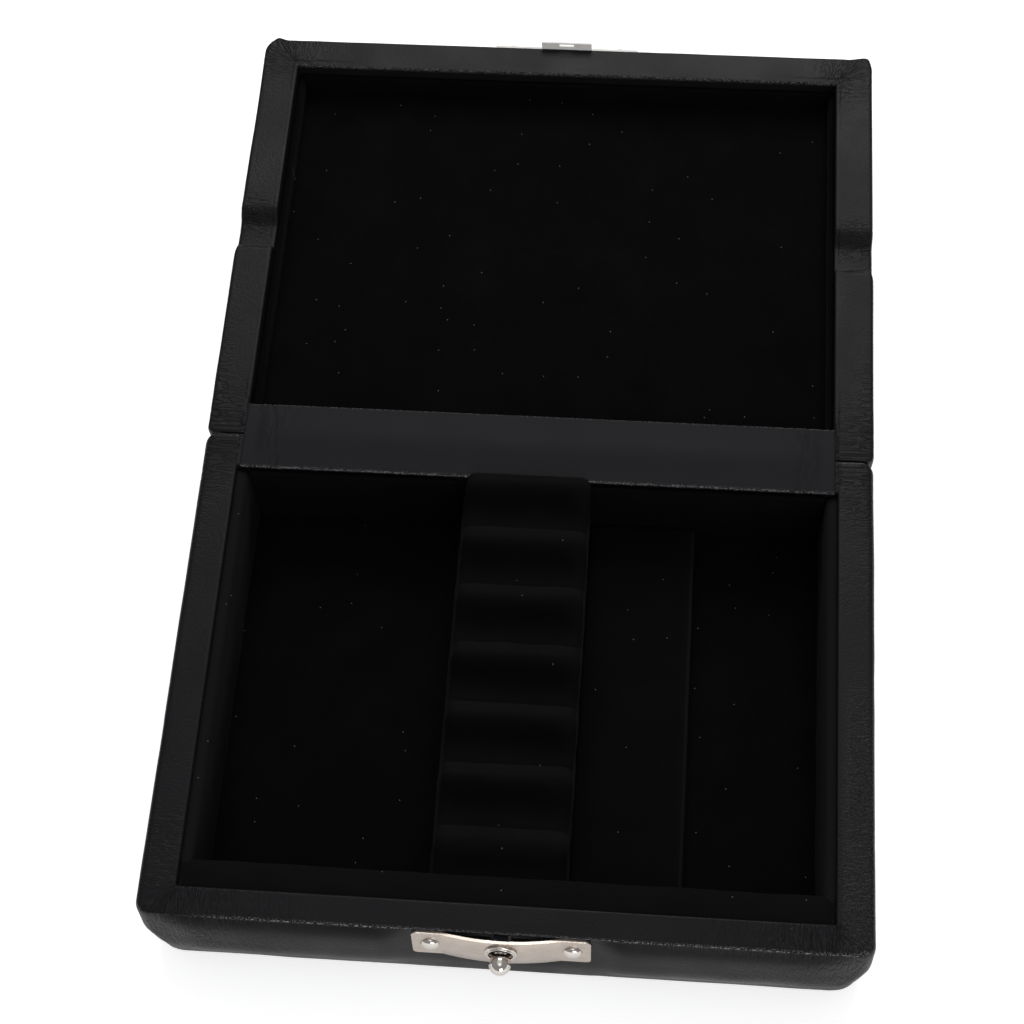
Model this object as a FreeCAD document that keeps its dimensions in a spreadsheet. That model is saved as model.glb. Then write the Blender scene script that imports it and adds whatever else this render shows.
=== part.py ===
"""Leather-covered jewelry case, lying open, with a velvet lining and a push-button catch.

Millimetres, +Z up. The origin is the centre of the underside of the base. The base runs from its
front (towards -Y) to the hinge (towards +Y), and the lid lies open behind it, rims level.
"""
import FreeCAD
import Part

import math
import os

import Sketcher

SIZES = (
    ("case_width", 171.0, "widest outer width of both halves"),
    ("half_depth", 128.6, "hinge face to the widest part of the front, both halves"),
    ("base_height", 30.0, "underside to rim of the base"),
    ("lid_height", 15.0, "outer top to rim of the lid"),
    ("seam_gap", 0.3, "between the two hinge faces when the case lies open"),
    ("rim_gap", 0.3, "between the two rims when the case is shut"),
    ("leather", 0.8, "thickness of the covering leather"),
    ("strip_leather", 0.5, "thickness of the pared leather over the hinge"),
    ("panel_proud", 0.4, "how far the underside panel stands below the covering"),
    ("panel_margin", 1.5, "from the round of the lower edge to the underside panel"),
    ("wall_bulge", 2.4, "how far the base front swells beyond the rim"),
    ("slope_height", 17.0, "from the base rim down to the widest part of the front"),
    ("side_bulge", 1.5, "how far the base side walls swell beyond the rim"),
    ("side_shoulder", 2.0, "from the base rim down to the widest part of the sides"),
    ("lid_bulge", 2.0, "how far the lid front swells beyond the rim"),
    ("lid_slope_height", 9.0, "from the lid rim to the widest part of the front"),
    ("lid_side_bulge", 0.5, "how far the lid side walls swell beyond the rim"),
    ("lid_side_shoulder", 2.0, "from the lid rim to the widest part of the sides"),
    ("corner_radius", 6.0, "front corners seen from above"),
    ("board_corner", 10.0, "front corners of the boards, taken at the leather's face"),
    ("hinge_corner_radius", 2.0, "corners at the hinge seen from above"),
    ("bottom_round", 5.0, "round along the lower edges of the base"),
    ("lid_round", 4.0, "round along the top edges of the lid"),
    ("side_rim", 9.2, "base side wall, widest face to velvet side"),
    ("front_rim", 9.2, "base front wall, widest face to velvet side"),
    ("back_rim", 8.9, "base back wall, hinge face to velvet side"),
    ("lid_side_rim", 10.2, "lid side wall, widest face to velvet side"),
    ("lid_front_rim", 10.7, "lid front wall, widest face to velvet side"),
    ("lid_back_rim", 8.5, "lid back wall, hinge face to velvet side"),
    ("bottom_board", 2.2, "thickness of the bottom board"),
    ("top_board", 2.6, "thickness of the lid's top board"),
    ("floor_lining", 1.4, "thickness of the velvet floor of the base"),
    ("lid_lining", 1.6, "thickness of the velvet panel in the lid"),
    ("side_liner", 3.0, "velvet pads on the base side walls"),
    ("front_liner", 7.5, "velvet pad on the base front wall"),
    ("back_liner", 2.0, "velvet pads on the base back wall"),
    ("side_liner_drop", 1.5, "base rim to the top of the side and back pads"),
    ("front_liner_drop", 1.5, "base rim to the top of the front pad"),
    ("side_liner_round", 1.2, "round along the top of the side pads"),
    ("front_liner_round", 2.0, "round along the top of the front pad"),
    ("back_liner_round", 0.8, "round along the top of the back pads"),
    ("lid_liner", 1.5, "velvet strips on the lid walls"),
    ("lid_liner_round", 0.6, "round along the top of the strips"),
    ("lid_liner_drop", 3.4, "lid rim to the top of the strips"),
    ("cradle_offset", -1.4, "middle of the cradle from the middle of the case"),
    ("cradle_width", 31.0, "cradle width at its top"),
    ("cradle_flare", 3.0, "how far the left flank spreads at its foot"),
    ("cradle_rise", 1.5, "crests above the base rim"),
    ("cradle_shoulder", 3.0, "round along the two upper edges of the cradle"),
    ("hollow_count", 7, "hollows along the cradle"),
    ("hollow_pitch", 15.55, "from one hollow to the next"),
    ("hollow_depth", 7.0, "crest to hollow"),
    ("crest_flat", 0.6, "flat on top of a crest"),
    ("crest_radius", 1.5, "round beside the flat of a crest"),
    ("shelf_width", 27.5, "raised shelf beside the cradle"),
    ("shelf_height", 5.0, "raised shelf above the velvet floor"),
    ("shelf_round", 1.2, "round along the free edge of the shelf"),
    ("notch_width", 11.6, "finger notch along the lid's side walls"),
    ("notch_depth", 3.0, "finger notch below the lid rim"),
    ("notch_round", 1.2, "round in the lower corners of a finger notch"),
    ("notch_setback", 63.4, "hinge face of the lid to the middle of a finger notch"),
    ("hinge_length", 140.0, "knuckles from end to end"),
    ("knuckle_count", 7, "knuckles, the even ones on the base"),
    ("knuckle_gap", 0.4, "between neighbouring knuckles"),
    ("knuckle_relief", 0.3, "room round the knuckles in the walls"),
    ("leaf_width", 7.6, "hinge axis to the inner edge of a leaf"),
    ("leaf_thickness", 0.3, "sheet of the hinge leaves"),
    ("pin_radius", 0.45, "hinge pin"),
    ("pin_clearance", 0.05, "running room round the pin in the lid's knuckles"),
    ("strip_margin", 10.0, "widest outer side to the end of the leather strips over the hinge"),
    ("screw_count", 5, "screws in each hinge leaf"),
    ("screw_setback", 5.0, "hinge axis to the row of screws"),
    ("screw_length", 6.0, "hinge screw from head to tip"),
    ("screw_radius", 0.55, "shank of a hinge screw"),
    ("screw_head", 1.1, "head radius of a hinge screw"),
    ("button_drop", 5.5, "base rim to the axis of the push-button"),
    ("plate_drop", 6.4, "base rim to the middle of the catch plate"),
    ("plate_width", 41.5, "catch plate from end to end"),
    ("plate_height", 11.0, "catch plate along the wall"),
    ("plate_thickness", 0.7, "sheet of the catch and strike plates"),
    ("plate_corner", 1.2, "corners of the catch plate"),
    ("plate_bow", 1.45, "how far the middle of the catch plate stands off the wall"),
    ("bow_foot", 13.9, "where the bow meets the wall, from the middle"),
    ("plate_hole", 2.75, "radius of the hole for the button"),
    ("rivet_spread", 16.5, "catch rivets from the middle"),
    ("rivet_radius", 2.3, "head radius of the rivets"),
    ("rivet_dome", 1.2, "head height of the rivets"),
    ("shank_radius", 0.8, "shank of the rivets"),
    ("shank_length", 5.0, "shank of the rivets behind the plate"),
    ("collar_radius", 3.75, "outer radius of the collar round the button"),
    ("collar_bore", 2.9, "inner radius of the collar"),
    ("collar_height", 0.9, "collar above the plate"),
    ("collar_bevel", 0.4, "bevel round the collar"),
    ("ball_radius", 2.6, "ball of the push-button"),
    ("ball_reach", 2.7, "ball centre in front of the catch plate"),
    ("neck_radius", 1.5, "neck behind the ball"),
    ("neck_sink", 0.6, "how far the neck runs on into the catch plate"),
    ("stem_radius", 1.1, "stem of the button behind the plate"),
    ("tail_radius", 0.7, "tail of the button in the spring"),
    ("tail_head", 1.3, "riveted end of the tail"),
    ("tail_head_height", 0.6, "riveted end of the tail"),
    ("button_play", 0.1, "room between the button and its spring"),
    ("press_travel", 1.2, "how far the button goes in"),
    ("tongue_width", 14.0, "strike tongue"),
    ("tongue_thickness", 0.5, "strike tongue"),
    ("tongue_length", 2.6, "strike tongue beyond the lid rim"),
    ("tongue_clearance", 0.25, "room each side of the tongue when it is home"),
    ("tongue_offset", 0.05, "lid rim's outer edge to the tongue"),
    ("slit_width", 4.0, "slit in the tongue"),
    ("slit_height", 0.9, "slit in the tongue"),
    ("slit_reach", 1.6, "lid rim to the middle of the slit"),
    ("nose_play", 0.25, "room round the latch nose in the slit"),
    ("nose_reach", 0.2, "how far the nose passes the tongue"),
    ("nose_lip", 0.25, "height of the nose at its tip"),
    ("strike_width", 40.0, "strike plate from end to end"),
    ("strike_height", 6.0, "strike plate along the lid wall"),
    ("strike_drop", 0.3, "lid rim to the edge of the strike plate"),
    ("strike_spread", 15.0, "strike rivets from the middle"),
    ("spring_width", 7.0, "latch spring"),
    ("spring_thickness", 0.4, "latch spring"),
    ("spring_setback", 0.3, "tongue recess to the latch spring"),
    ("spring_foot", 2.2, "fixed end of the latch spring"),
    ("pocket_play", 0.5, "room round the latch spring in its pocket"),
    ("flex_room", 2.4, "depth of the pocket behind the latch spring"),
    ("latch_screw_spread", 2.0, "latch screws from the middle"),
    ("latch_screw_radius", 0.6, "shank of a latch screw"),
    ("latch_screw_head", 1.0, "head radius of a latch screw"),
    ("latch_screw_cap", 0.5, "head height of a latch screw"),
    ("latch_screw_length", 3.5, "latch screw from head to tip"),
    ("tool_margin", 2.0, "how far cutting shapes run past what they cut"),
)

doc = FreeCAD.newDocument("jewelry_case")


class Size:
    """A length held both as a number and as the sheet expression that gives it."""

    def __init__(self, value, text):
        self.value = value
        self.text = text

    def __add__(self, other):
        return Size(self.value + number(other), f"({self.text} + {formula(other)})")

    def __sub__(self, other):
        return Size(self.value - number(other), f"({self.text} - {formula(other)})")

    def __mul__(self, other):
        return Size(self.value * number(other), f"({self.text} * {formula(other)})")

    def __truediv__(self, other):
        return Size(self.value / number(other), f"({self.text} / {formula(other)})")

    def __neg__(self):
        return Size(-self.value, f"(0 - {self.text})")

    def root(self):
        return Size(math.sqrt(self.value), f"sqrt({self.text})")


def number(size):
    return size.value if isinstance(size, Size) else size


def formula(size):
    return size.text if isinstance(size, Size) else str(size)


class Sizes:
    """The driving dimensions, kept in the document's sheet and read back by name."""

    def __init__(self, rows):
        self.sheet = doc.addObject("Spreadsheet::Sheet", "Sizes")
        for row, (name, value, note) in enumerate(rows, start=1):
            self.sheet.set(f"A{row}", note)
            self.sheet.set(f"B{row}", str(value))
            self.sheet.setAlias(f"B{row}", name)
            setattr(self, name, Size(value, f"Sizes.{name}"))
        doc.recompute()


S = Sizes(SIZES)
ZERO = Size(0.0, "0")


# Shapes bound to the sheet

def bind(item, **properties):
    for name, size in properties.items():
        item.setExpression(name, formula(size))
    return item


def place(item, x, y, z):
    item.setExpression("Placement.Base.x", formula(x))
    item.setExpression("Placement.Base.y", formula(y))
    item.setExpression("Placement.Base.z", formula(z))
    return item


def tilt(item, angle):
    """Turn an item about its own X axis by an angle given as a sheet expression."""
    item.Placement = FreeCAD.Placement(FreeCAD.Vector(), FreeCAD.Rotation(FreeCAD.Vector(1, 0, 0), 1))
    item.setExpression("Placement.Rotation.Angle", angle)
    return item


def box(name, x, y, z):
    item = doc.addObject("Part::Box", name)
    bind(item, Length=x[1] - x[0], Width=y[1] - y[0], Height=z[1] - z[0])
    return place(item, x[0], y[0], z[0])


def rod_x(name, radius, x, y, z):
    item = doc.addObject("Part::Cylinder", name)
    item.Placement = FreeCAD.Placement(FreeCAD.Vector(), FreeCAD.Rotation(FreeCAD.Vector(0, 1, 0), 90))
    bind(item, Radius=radius, Height=x[1] - x[0])
    return place(item, x[0], y, z)


def rod_y(name, radius, x, y, z):
    item = doc.addObject("Part::Cylinder", name)
    item.Placement = FreeCAD.Placement(FreeCAD.Vector(), FreeCAD.Rotation(FreeCAD.Vector(1, 0, 0), -90))
    bind(item, Radius=radius, Height=y[1] - y[0])
    return place(item, x, y[0], z)


def fuse(name, items):
    item = doc.addObject("Part::MultiFuse", name)
    item.Shapes = items
    return item


def group(name, items):
    item = doc.addObject("Part::Compound", name)
    item.Links = items
    return item


def cut(name, base, *tools):
    item = doc.addObject("Part::Cut", name)
    item.Base = base
    item.Tool = tools[0] if len(tools) == 1 else fuse(f"{name}_tools", list(tools))
    return item


def common(name, *items):
    item = doc.addObject("Part::MultiCommon", name)
    item.Shapes = list(items)
    return item


def sketch_on(body, name, role):
    sketch = body.newObject("Sketcher::SketchObject", name)
    plane = next(feature for feature in body.Origin.OriginFeatures if feature.Role == role)
    sketch.AttachmentSupport = [(plane, "")]
    sketch.MapMode = "FlatFace"
    return sketch


def arc_centre(start, end, radius, side):
    """Centre of an arc under half a circle, on the left (1) or right (-1) of the way from start to end."""
    chord = end - start
    middle = (start + end) * 0.5
    height = math.sqrt(radius ** 2 - (chord.Length / 2) ** 2)
    return middle + FreeCAD.Vector(-chord.y, chord.x, 0) * (side * height / chord.Length)


def outline(sketch, corners, arcs=None):
    """Draw a closed outline through corners, all its points pinned to the sheet.

    arcs gives (radius, side) for the stretches, counted by the corner that they start from, that
    are round instead of straight.
    """
    arcs = arcs or {}
    points = [FreeCAD.Vector(number(x), number(y), 0) for x, y in corners]
    ends = []
    for i, start in enumerate(points):
        end = points[(i + 1) % len(points)]
        if i not in arcs:
            edge = sketch.addGeometry(Part.LineSegment(start, end), False)
            ends.append((edge, 1, 2))
            continue
        radius, side = arcs[i]
        centre = arc_centre(start, end, number(radius), side)
        circle = Part.Circle(centre, FreeCAD.Vector(0, 0, 1), number(radius))
        first, last = (start, end) if side > 0 else (end, start)
        turn = [math.atan2(point.y - centre.y, point.x - centre.x) for point in (first, last)]
        edge = sketch.addGeometry(Part.ArcOfCircle(circle, turn[0], turn[1]), False)
        ends.append((edge, 1, 2) if side > 0 else (edge, 2, 1))
    for i, (edge, start, end) in enumerate(ends):
        following = ends[(i + 1) % len(ends)]
        sketch.addConstraint(Sketcher.Constraint("Coincident", edge, end, following[0], following[1]))
        x, y = corners[i]
        pin(sketch, Sketcher.Constraint("DistanceX", -1, 1, edge, start, number(x)), x)
        pin(sketch, Sketcher.Constraint("DistanceY", -1, 1, edge, start, number(y)), y)
        if i in arcs:
            pin(sketch, Sketcher.Constraint("Radius", edge, number(arcs[i][0])), arcs[i][0])
    return sketch


def pin(sketch, constraint, size):
    index = sketch.addConstraint(constraint)
    sketch.setExpression(f"Constraints[{index}]", formula(size))


def pad(name, role, corners, length, arcs=None):
    """A body with one pad: an outline drawn on an origin plane and given a length."""
    body = doc.addObject("PartDesign::Body", name)
    sketch = outline(sketch_on(body, f"{name}_outline", role), corners, arcs)
    feature = body.newObject("PartDesign::Pad", f"{name}_pad")
    feature.Profile = sketch
    bind(feature, Length=length)
    return body


def revolve(name, role, corners, arcs=None):
    """A body turned from a half section about the upright axis of its sketch."""
    body = doc.addObject("PartDesign::Body", name)
    sketch = outline(sketch_on(body, f"{name}_section", role), corners, arcs)
    feature = body.newObject("PartDesign::Revolution", f"{name}_turned")
    feature.Profile = sketch
    feature.ReferenceAxis = (sketch, ["V_Axis"])
    feature.Angle = 360
    return body


def round_edges(body, radius, wanted):
    """Fillet the straight edges of a body's tip whose middle and direction satisfy wanted."""
    doc.recompute()
    tip = body.Tip
    names = []
    for index, edge in enumerate(tip.Shape.Edges, start=1):
        middle = edge.CenterOfMass
        way = edge.Vertexes[-1].Point - edge.Vertexes[0].Point
        if wanted(middle, way):
            names.append(f"Edge{index}")
    feature = body.newObject("PartDesign::Fillet", f"{body.Name}_round")
    feature.Base = (tip, names)
    bind(feature, Radius=radius)
    return body


def near(value, size):
    return abs(value - number(size)) < 1e-4


# Places that several pieces share

rim = S.base_height
base_front = -(S.half_depth / 2)
base_hinge_face = S.half_depth / 2
hinge_y = base_hinge_face + S.seam_gap / 2
hinge_z = rim + S.rim_gap / 2
lid_hinge_face = base_hinge_face + S.seam_gap
lid_front = lid_hinge_face + S.half_depth
lid_top = rim - S.lid_height
half_width = S.case_width / 2

well_side = half_width - S.side_rim
well_front = base_front + S.front_rim
well_back = base_hinge_face - S.back_rim
board_floor = S.panel_proud + S.leather + S.bottom_board
velvet_floor = board_floor + S.floor_lining

lid_well_side = half_width - S.lid_side_rim
lid_well_back = lid_hinge_face + S.lid_back_rim
lid_well_front = lid_front - S.lid_front_rim
lid_board_floor = lid_top + S.leather + S.top_board
lid_velvet_floor = lid_board_floor + S.lid_lining

crease_y = base_front + S.wall_bulge
slope_length = (S.wall_bulge * S.wall_bulge + S.slope_height * S.slope_height).root()
lean_sin = S.wall_bulge / slope_length
lean_cos = S.slope_height / slope_length
lean_angle = f"atan({(S.wall_bulge / S.slope_height).text})"

lid_crease_y = lid_front - S.lid_bulge
lid_slope_length = (S.lid_bulge * S.lid_bulge + S.lid_slope_height * S.lid_slope_height).root()
lid_lean_sin = S.lid_bulge / lid_slope_length
lid_lean_cos = S.lid_slope_height / lid_slope_length
lid_lean_angle = f"atan({(S.lid_bulge / S.lid_slope_height).text})"


def shut_y(y):
    """Where a place on the open lid lies, front to back, once the lid is shut."""
    return hinge_y * 2 - y


def shut_z(z):
    """How high a place on the open lid lies once the lid is shut."""
    return hinge_z * 2 - z


# The swelling outer form of each half, at a depth below the leather's surface

def former(name, front, hinge_face, far, front_form, side_form, rounding, corner, inset):
    """A half's outer form: three prisms, one along each axis, and what they have in common.

    front_form and side_form give how far a wall swells and how far below the rim it is widest;
    corner is the plan radius of the two front corners at the leather's face.
    """
    inward = inset if number(front) < number(hinge_face) else -inset
    wide = half_width - inset
    top = rim - inset
    bottom = far + inset
    bulge, shoulder = side_form
    front_bulge, slope_height = front_form
    knee = rim - shoulder
    front_knee = rim - slope_height
    near_face = front + inward
    back_face = hinge_face - inward
    swell = front_bulge if number(front) < number(hinge_face) else -front_bulge
    low_y, high_y = (near_face, back_face) if number(front) < number(hinge_face) else (back_face, near_face)
    across = pad(f"{name}_across", "XZ_Plane",
                 [(-wide, bottom), (wide, bottom), (wide, knee), (wide - bulge, top),
                  (bulge - wide, top), (-wide, knee)],
                 high_y - low_y + S.tool_margin * 2)
    round_edges(across, rounding - inset,
                lambda middle, way: near(middle.z, bottom) and near(abs(middle.x), wide))
    place(across, ZERO, high_y + S.tool_margin, ZERO)
    along = pad(f"{name}_along", "YZ_Plane",
                [(near_face, bottom), (near_face, front_knee), (near_face + swell, top), (back_face, top),
                 (back_face, bottom)],
                wide * 2 + S.tool_margin * 2)
    round_edges(along, rounding - inset,
                lambda middle, way: near(middle.z, bottom)
                and (near(middle.y, near_face) or near(middle.y, back_face)))
    place(along, -(wide + S.tool_margin), ZERO, ZERO)
    plan = pad(f"{name}_plan", "XY_Plane",
               [(-wide, low_y), (wide, low_y), (wide, high_y), (-wide, high_y)],
               top - bottom + S.tool_margin * 2)
    round_edges(plan, corner - inset,
                lambda middle, way: near(way.x, 0) and near(way.y, 0) and near(middle.y, near_face))
    round_edges(plan, S.hinge_corner_radius - inset,
                lambda middle, way: near(way.x, 0) and near(way.y, 0) and near(middle.y, back_face))
    place(plan, ZERO, ZERO, bottom - S.tool_margin)
    return common(name, across, along, plan)


def base_former(name, corner, inset):
    return former(name, base_front, base_hinge_face, S.panel_proud, (S.wall_bulge, S.slope_height),
                  (S.side_bulge, S.side_shoulder), S.bottom_round, corner, inset)


def lid_former(name, corner, inset):
    return former(name, lid_front, lid_hinge_face, lid_top, (S.lid_bulge, S.lid_slope_height),
                  (S.lid_side_bulge, S.lid_side_shoulder), S.lid_round, corner, inset)


above_rim = rim + S.cradle_rise + S.tool_margin


def well(name, side, low_y, high_y, floor):
    return box(name, (-side, side), (low_y, high_y), (floor, above_rim))


# Hinge: two leaves rolled into knuckles, a pin and screws, let into the back boards

knuckle_radius = S.rim_gap / 2 + S.strip_leather + S.leaf_thickness
leaf_low = hinge_z - knuckle_radius
leaf_high = leaf_low + S.leaf_thickness
strip_stop = knuckle_radius + S.knuckle_relief
knuckle_pitch = S.hinge_length / S.knuckle_count
screw_pitch = S.hinge_length / S.screw_count
half_hinge = S.hinge_length / 2


def span_y(first, last):
    """Two distances from the hinge axis, on either half, in rising order of Y."""
    return (first, last) if number(first) < number(last) else (last, first)


def hinge_screws(name, side):
    screws = []
    for i in range(int(number(S.screw_count))):
        x = screw_pitch * (i + 0.5) - half_hinge
        y = hinge_y + S.screw_setback * side
        head = bind(doc.addObject("Part::Cone", f"{name}_head{i}"),
                    Radius1=S.screw_radius, Radius2=S.screw_head, Height=S.leaf_thickness)
        place(head, x, y, leaf_low)
        shank = bind(doc.addObject("Part::Cylinder", f"{name}_shank{i}"),
                     Radius=S.screw_radius, Height=S.screw_length - S.leaf_thickness)
        place(shank, x, y, leaf_high - S.screw_length)
        screws.append(fuse(f"{name}_{i}", [head, shank]))
    return group(name, screws)


def hinge_leaf(name, side, first_knuckle, bore_radius, screws):
    plate = box(f"{name}_plate", (-half_hinge, half_hinge),
                span_y(hinge_y + S.leaf_width * side, hinge_y + strip_stop * side), (leaf_low, leaf_high))
    pieces = [plate]
    for i in range(first_knuckle, int(number(S.knuckle_count)), 2):
        ends = (knuckle_pitch * i - half_hinge + S.knuckle_gap / 2,
                knuckle_pitch * (i + 1) - half_hinge - S.knuckle_gap / 2)
        pieces.append(box(f"{name}_tab{i}", ends, span_y(hinge_y + strip_stop * side, hinge_y),
                          (leaf_low, leaf_high)))
        pieces.append(rod_x(f"{name}_knuckle{i}", knuckle_radius, ends, hinge_y, hinge_z))
    bore = rod_x(f"{name}_bore", bore_radius,
                 (-(half_hinge + S.tool_margin), half_hinge + S.tool_margin), hinge_y, hinge_z)
    return cut(name, fuse(f"{name}_blank", pieces), bore, screws)


def leaf_mortise(name, side):
    """Room for a leaf in the top of a back board, and for the knuckles along its edge."""
    seat = box(f"{name}_seat", (-half_hinge, half_hinge),
               span_y(hinge_y + S.leaf_width * side, hinge_y), (leaf_low, leaf_high + S.tool_margin))
    relief = rod_x(f"{name}_relief", strip_stop,
                   (-(half_hinge + S.knuckle_relief), half_hinge + S.knuckle_relief), hinge_y, hinge_z)
    return fuse(name, [seat, relief])


def hinge_strip(name, side, inner_edge):
    half = half_width - S.strip_margin
    return box(name, (-half, half), span_y(inner_edge, hinge_y + strip_stop * side),
               (rim - S.strip_leather, rim))


hinge_pin = rod_x("hinge_pin", S.pin_radius, (-half_hinge, half_hinge), hinge_y, hinge_z)
hinge_screws_base = hinge_screws("hinge_screws_base", -1)
hinge_screws_lid = hinge_screws("hinge_screws_lid", 1)
hinge_leaf_base = hinge_leaf("hinge_leaf_base", -1, 0, S.pin_radius, hinge_screws_base)
hinge_leaf_lid = hinge_leaf("hinge_leaf_lid", 1, 1, S.pin_radius + S.pin_clearance, hinge_screws_lid)
base_mortise = leaf_mortise("base_mortise", -1)
lid_mortise = leaf_mortise("lid_mortise", 1)
hinge_strip_base = hinge_strip("hinge_strip_base", -1, well_back)
hinge_strip_lid = hinge_strip("hinge_strip_lid", 1, lid_well_back)


# Catch: a bowed plate on the base front, a button on a latch spring, a slit tongue on the lid

button_z = rim - S.button_drop
plate_z = rim - S.plate_drop
plate_y = crease_y - S.plate_drop * S.wall_bulge / S.slope_height
button_wall_y = crease_y - S.button_drop * S.wall_bulge / S.slope_height
plate_face_y = button_wall_y - (S.plate_bow + S.plate_thickness) / lean_cos
tongue_inner = shut_y(lid_crease_y + S.tongue_offset)
tongue_outer = tongue_inner - S.tongue_thickness
recess_y = tongue_inner + S.tongue_clearance
spring_front = recess_y + S.spring_setback
spring_back = spring_front + S.spring_thickness
nose_middle = shut_z(rim + S.slit_reach)
nose_half = S.slit_height / 2 - S.nose_play
spring_top = nose_middle + nose_half
spring_low = button_z - S.tail_head - S.pocket_play - S.spring_foot
outside_y = base_front - S.tool_margin


def rivets(name, spread, y, z, angle):
    """Two domed rivets whose heads sit at (y, z) and lean by an angle about X."""
    pair = []
    for i, side in enumerate((-1, 1)):
        dome = doc.addObject("Part::Ellipsoid", f"{name}_dome{i}")
        dome.Angle1 = 0
        bind(dome, Radius1=S.rivet_dome, Radius2=S.rivet_radius, Radius3=S.rivet_radius)
        shank = bind(doc.addObject("Part::Cylinder", f"{name}_shank{i}"),
                     Radius=S.shank_radius, Height=S.shank_length + S.plate_thickness)
        rivet = fuse(f"{name}_{i}", [dome, shank])
        shank.setExpression("Placement.Base.z", formula(-(S.shank_length + S.plate_thickness)))
        pair.append(place(tilt(rivet, angle), spread * side, y, z))
    return group(name, pair)


def bowed_plate(name):
    """Catch plate seen from above: flat ends on the wall, and a middle that arches off it."""
    end, foot, bow = S.plate_width / 2, S.bow_foot, S.plate_bow
    radius = (foot * foot + bow * bow) / (bow * 2)
    wall_side = [(-end, ZERO), (-foot, ZERO), (foot, ZERO), (end, ZERO)]
    front_side = [(x, y - S.plate_thickness) for x, y in reversed(wall_side)]
    body = pad(name, "XY_Plane", wall_side + front_side, S.plate_height, {1: (radius, 1), 5: (radius, -1)})
    round_edges(body, S.plate_corner, lambda middle, way: near(abs(middle.x), end) and not near(way.y, 0))
    tilt(body, f"0 deg - {lean_angle}")
    half = S.plate_height / 2
    return place(body, ZERO, plate_y - half * lean_sin, plate_z - half * lean_cos)


catch_rivets = rivets("catch_rivets", S.rivet_spread, plate_y - S.plate_thickness * lean_cos,
                      plate_z + S.plate_thickness * lean_sin, f"90 deg - {lean_angle}")
button_way = rod_y("button_way", S.plate_hole, ZERO, (outside_y - S.tool_margin, spring_front), button_z)
catch_plate = cut("catch_plate", bowed_plate("catch_plate_blank"), button_way, catch_rivets)

catch_collar = revolve("catch_collar", "XZ_Plane",
                       [(S.collar_bore, ZERO), (S.collar_radius, ZERO),
                        (S.collar_radius, S.collar_height - S.collar_bevel),
                        (S.collar_radius - S.collar_bevel, S.collar_height),
                        (S.collar_bore, S.collar_height)])
tilt(catch_collar, f"90 deg - {lean_angle}")
place(catch_collar, ZERO, plate_face_y, button_z)

ball_y = plate_face_y - S.ball_reach
neck_start = ball_y + (S.ball_radius * S.ball_radius - S.neck_radius * S.neck_radius).root()
neck_end = plate_face_y + S.neck_sink
stem_end = spring_front - S.button_play
tail_start = spring_back + S.button_play
tail_end = tail_start + S.tail_head_height
push_button = revolve("push_button", "XY_Plane",
                      [(ZERO, ball_y - S.ball_radius), (S.ball_radius, ball_y),
                       (S.neck_radius, neck_start), (S.neck_radius, neck_end),
                       (S.stem_radius, neck_end), (S.stem_radius, stem_end),
                       (S.tail_radius, stem_end), (S.tail_radius, tail_start),
                       (S.tail_head, tail_start), (S.tail_head, tail_end), (ZERO, tail_end)],
                      {0: (S.ball_radius, 1), 1: (S.ball_radius, 1)})
place(push_button, ZERO, ZERO, button_z)

spring_half = S.spring_width / 2
nose_side = S.slit_width / 2 - S.nose_play
spring_strip = box("latch_spring_strip", (-spring_half, spring_half), (spring_front, spring_back),
                   (spring_low, spring_top))
spring_nose = pad("latch_spring_nose", "YZ_Plane",
                  [(spring_front, nose_middle - nose_half), (spring_front, spring_top),
                   (tongue_outer - S.nose_reach, nose_middle - nose_half + S.nose_lip),
                   (tongue_outer - S.nose_reach, nose_middle - nose_half)], nose_side * 2)
place(spring_nose, -nose_side, ZERO, ZERO)
tail_way = rod_y("latch_spring_hole", S.tail_radius + S.button_play, ZERO,
                 (spring_front - S.tool_margin, spring_back + S.tool_margin), button_z)
latch_screw_z = spring_low + S.spring_foot / 2
latch_screw_pair = []
for index, hand in enumerate((-1, 1)):
    screw_x = S.latch_screw_spread * hand
    cap = rod_y(f"latch_screw_cap{index}", S.latch_screw_head, screw_x,
                (spring_front - S.latch_screw_cap, spring_front), latch_screw_z)
    thread = rod_y(f"latch_screw_thread{index}", S.latch_screw_radius, screw_x,
                   (spring_front, spring_front + S.latch_screw_length), latch_screw_z)
    latch_screw_pair.append(fuse(f"latch_screw{index}", [cap, thread]))
latch_screws = group("latch_screws", latch_screw_pair)
spring_blank = fuse("latch_spring_blank", [spring_strip, spring_nose])
latch_spring = cut("latch_spring", spring_blank, tail_way, latch_screws)

tongue_half = S.tongue_width / 2
pocket_side = spring_half + S.pocket_play
tongue_recess = box("tongue_recess", (-(tongue_half + S.tongue_clearance), tongue_half + S.tongue_clearance),
                    (outside_y, recess_y),
                    (shut_z(rim + S.tongue_length) - S.tongue_clearance, above_rim))
spring_seat = box("spring_seat", (-pocket_side, pocket_side), (outside_y, spring_back),
                  (spring_low - S.pocket_play, spring_top + S.nose_play))
spring_room = box("spring_room", (-pocket_side, pocket_side), (outside_y, spring_back + S.flex_room),
                  (spring_low + S.spring_foot, spring_top + S.nose_play))
catch_pocket = fuse("catch_pocket", [tongue_recess, spring_seat, spring_room])

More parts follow.
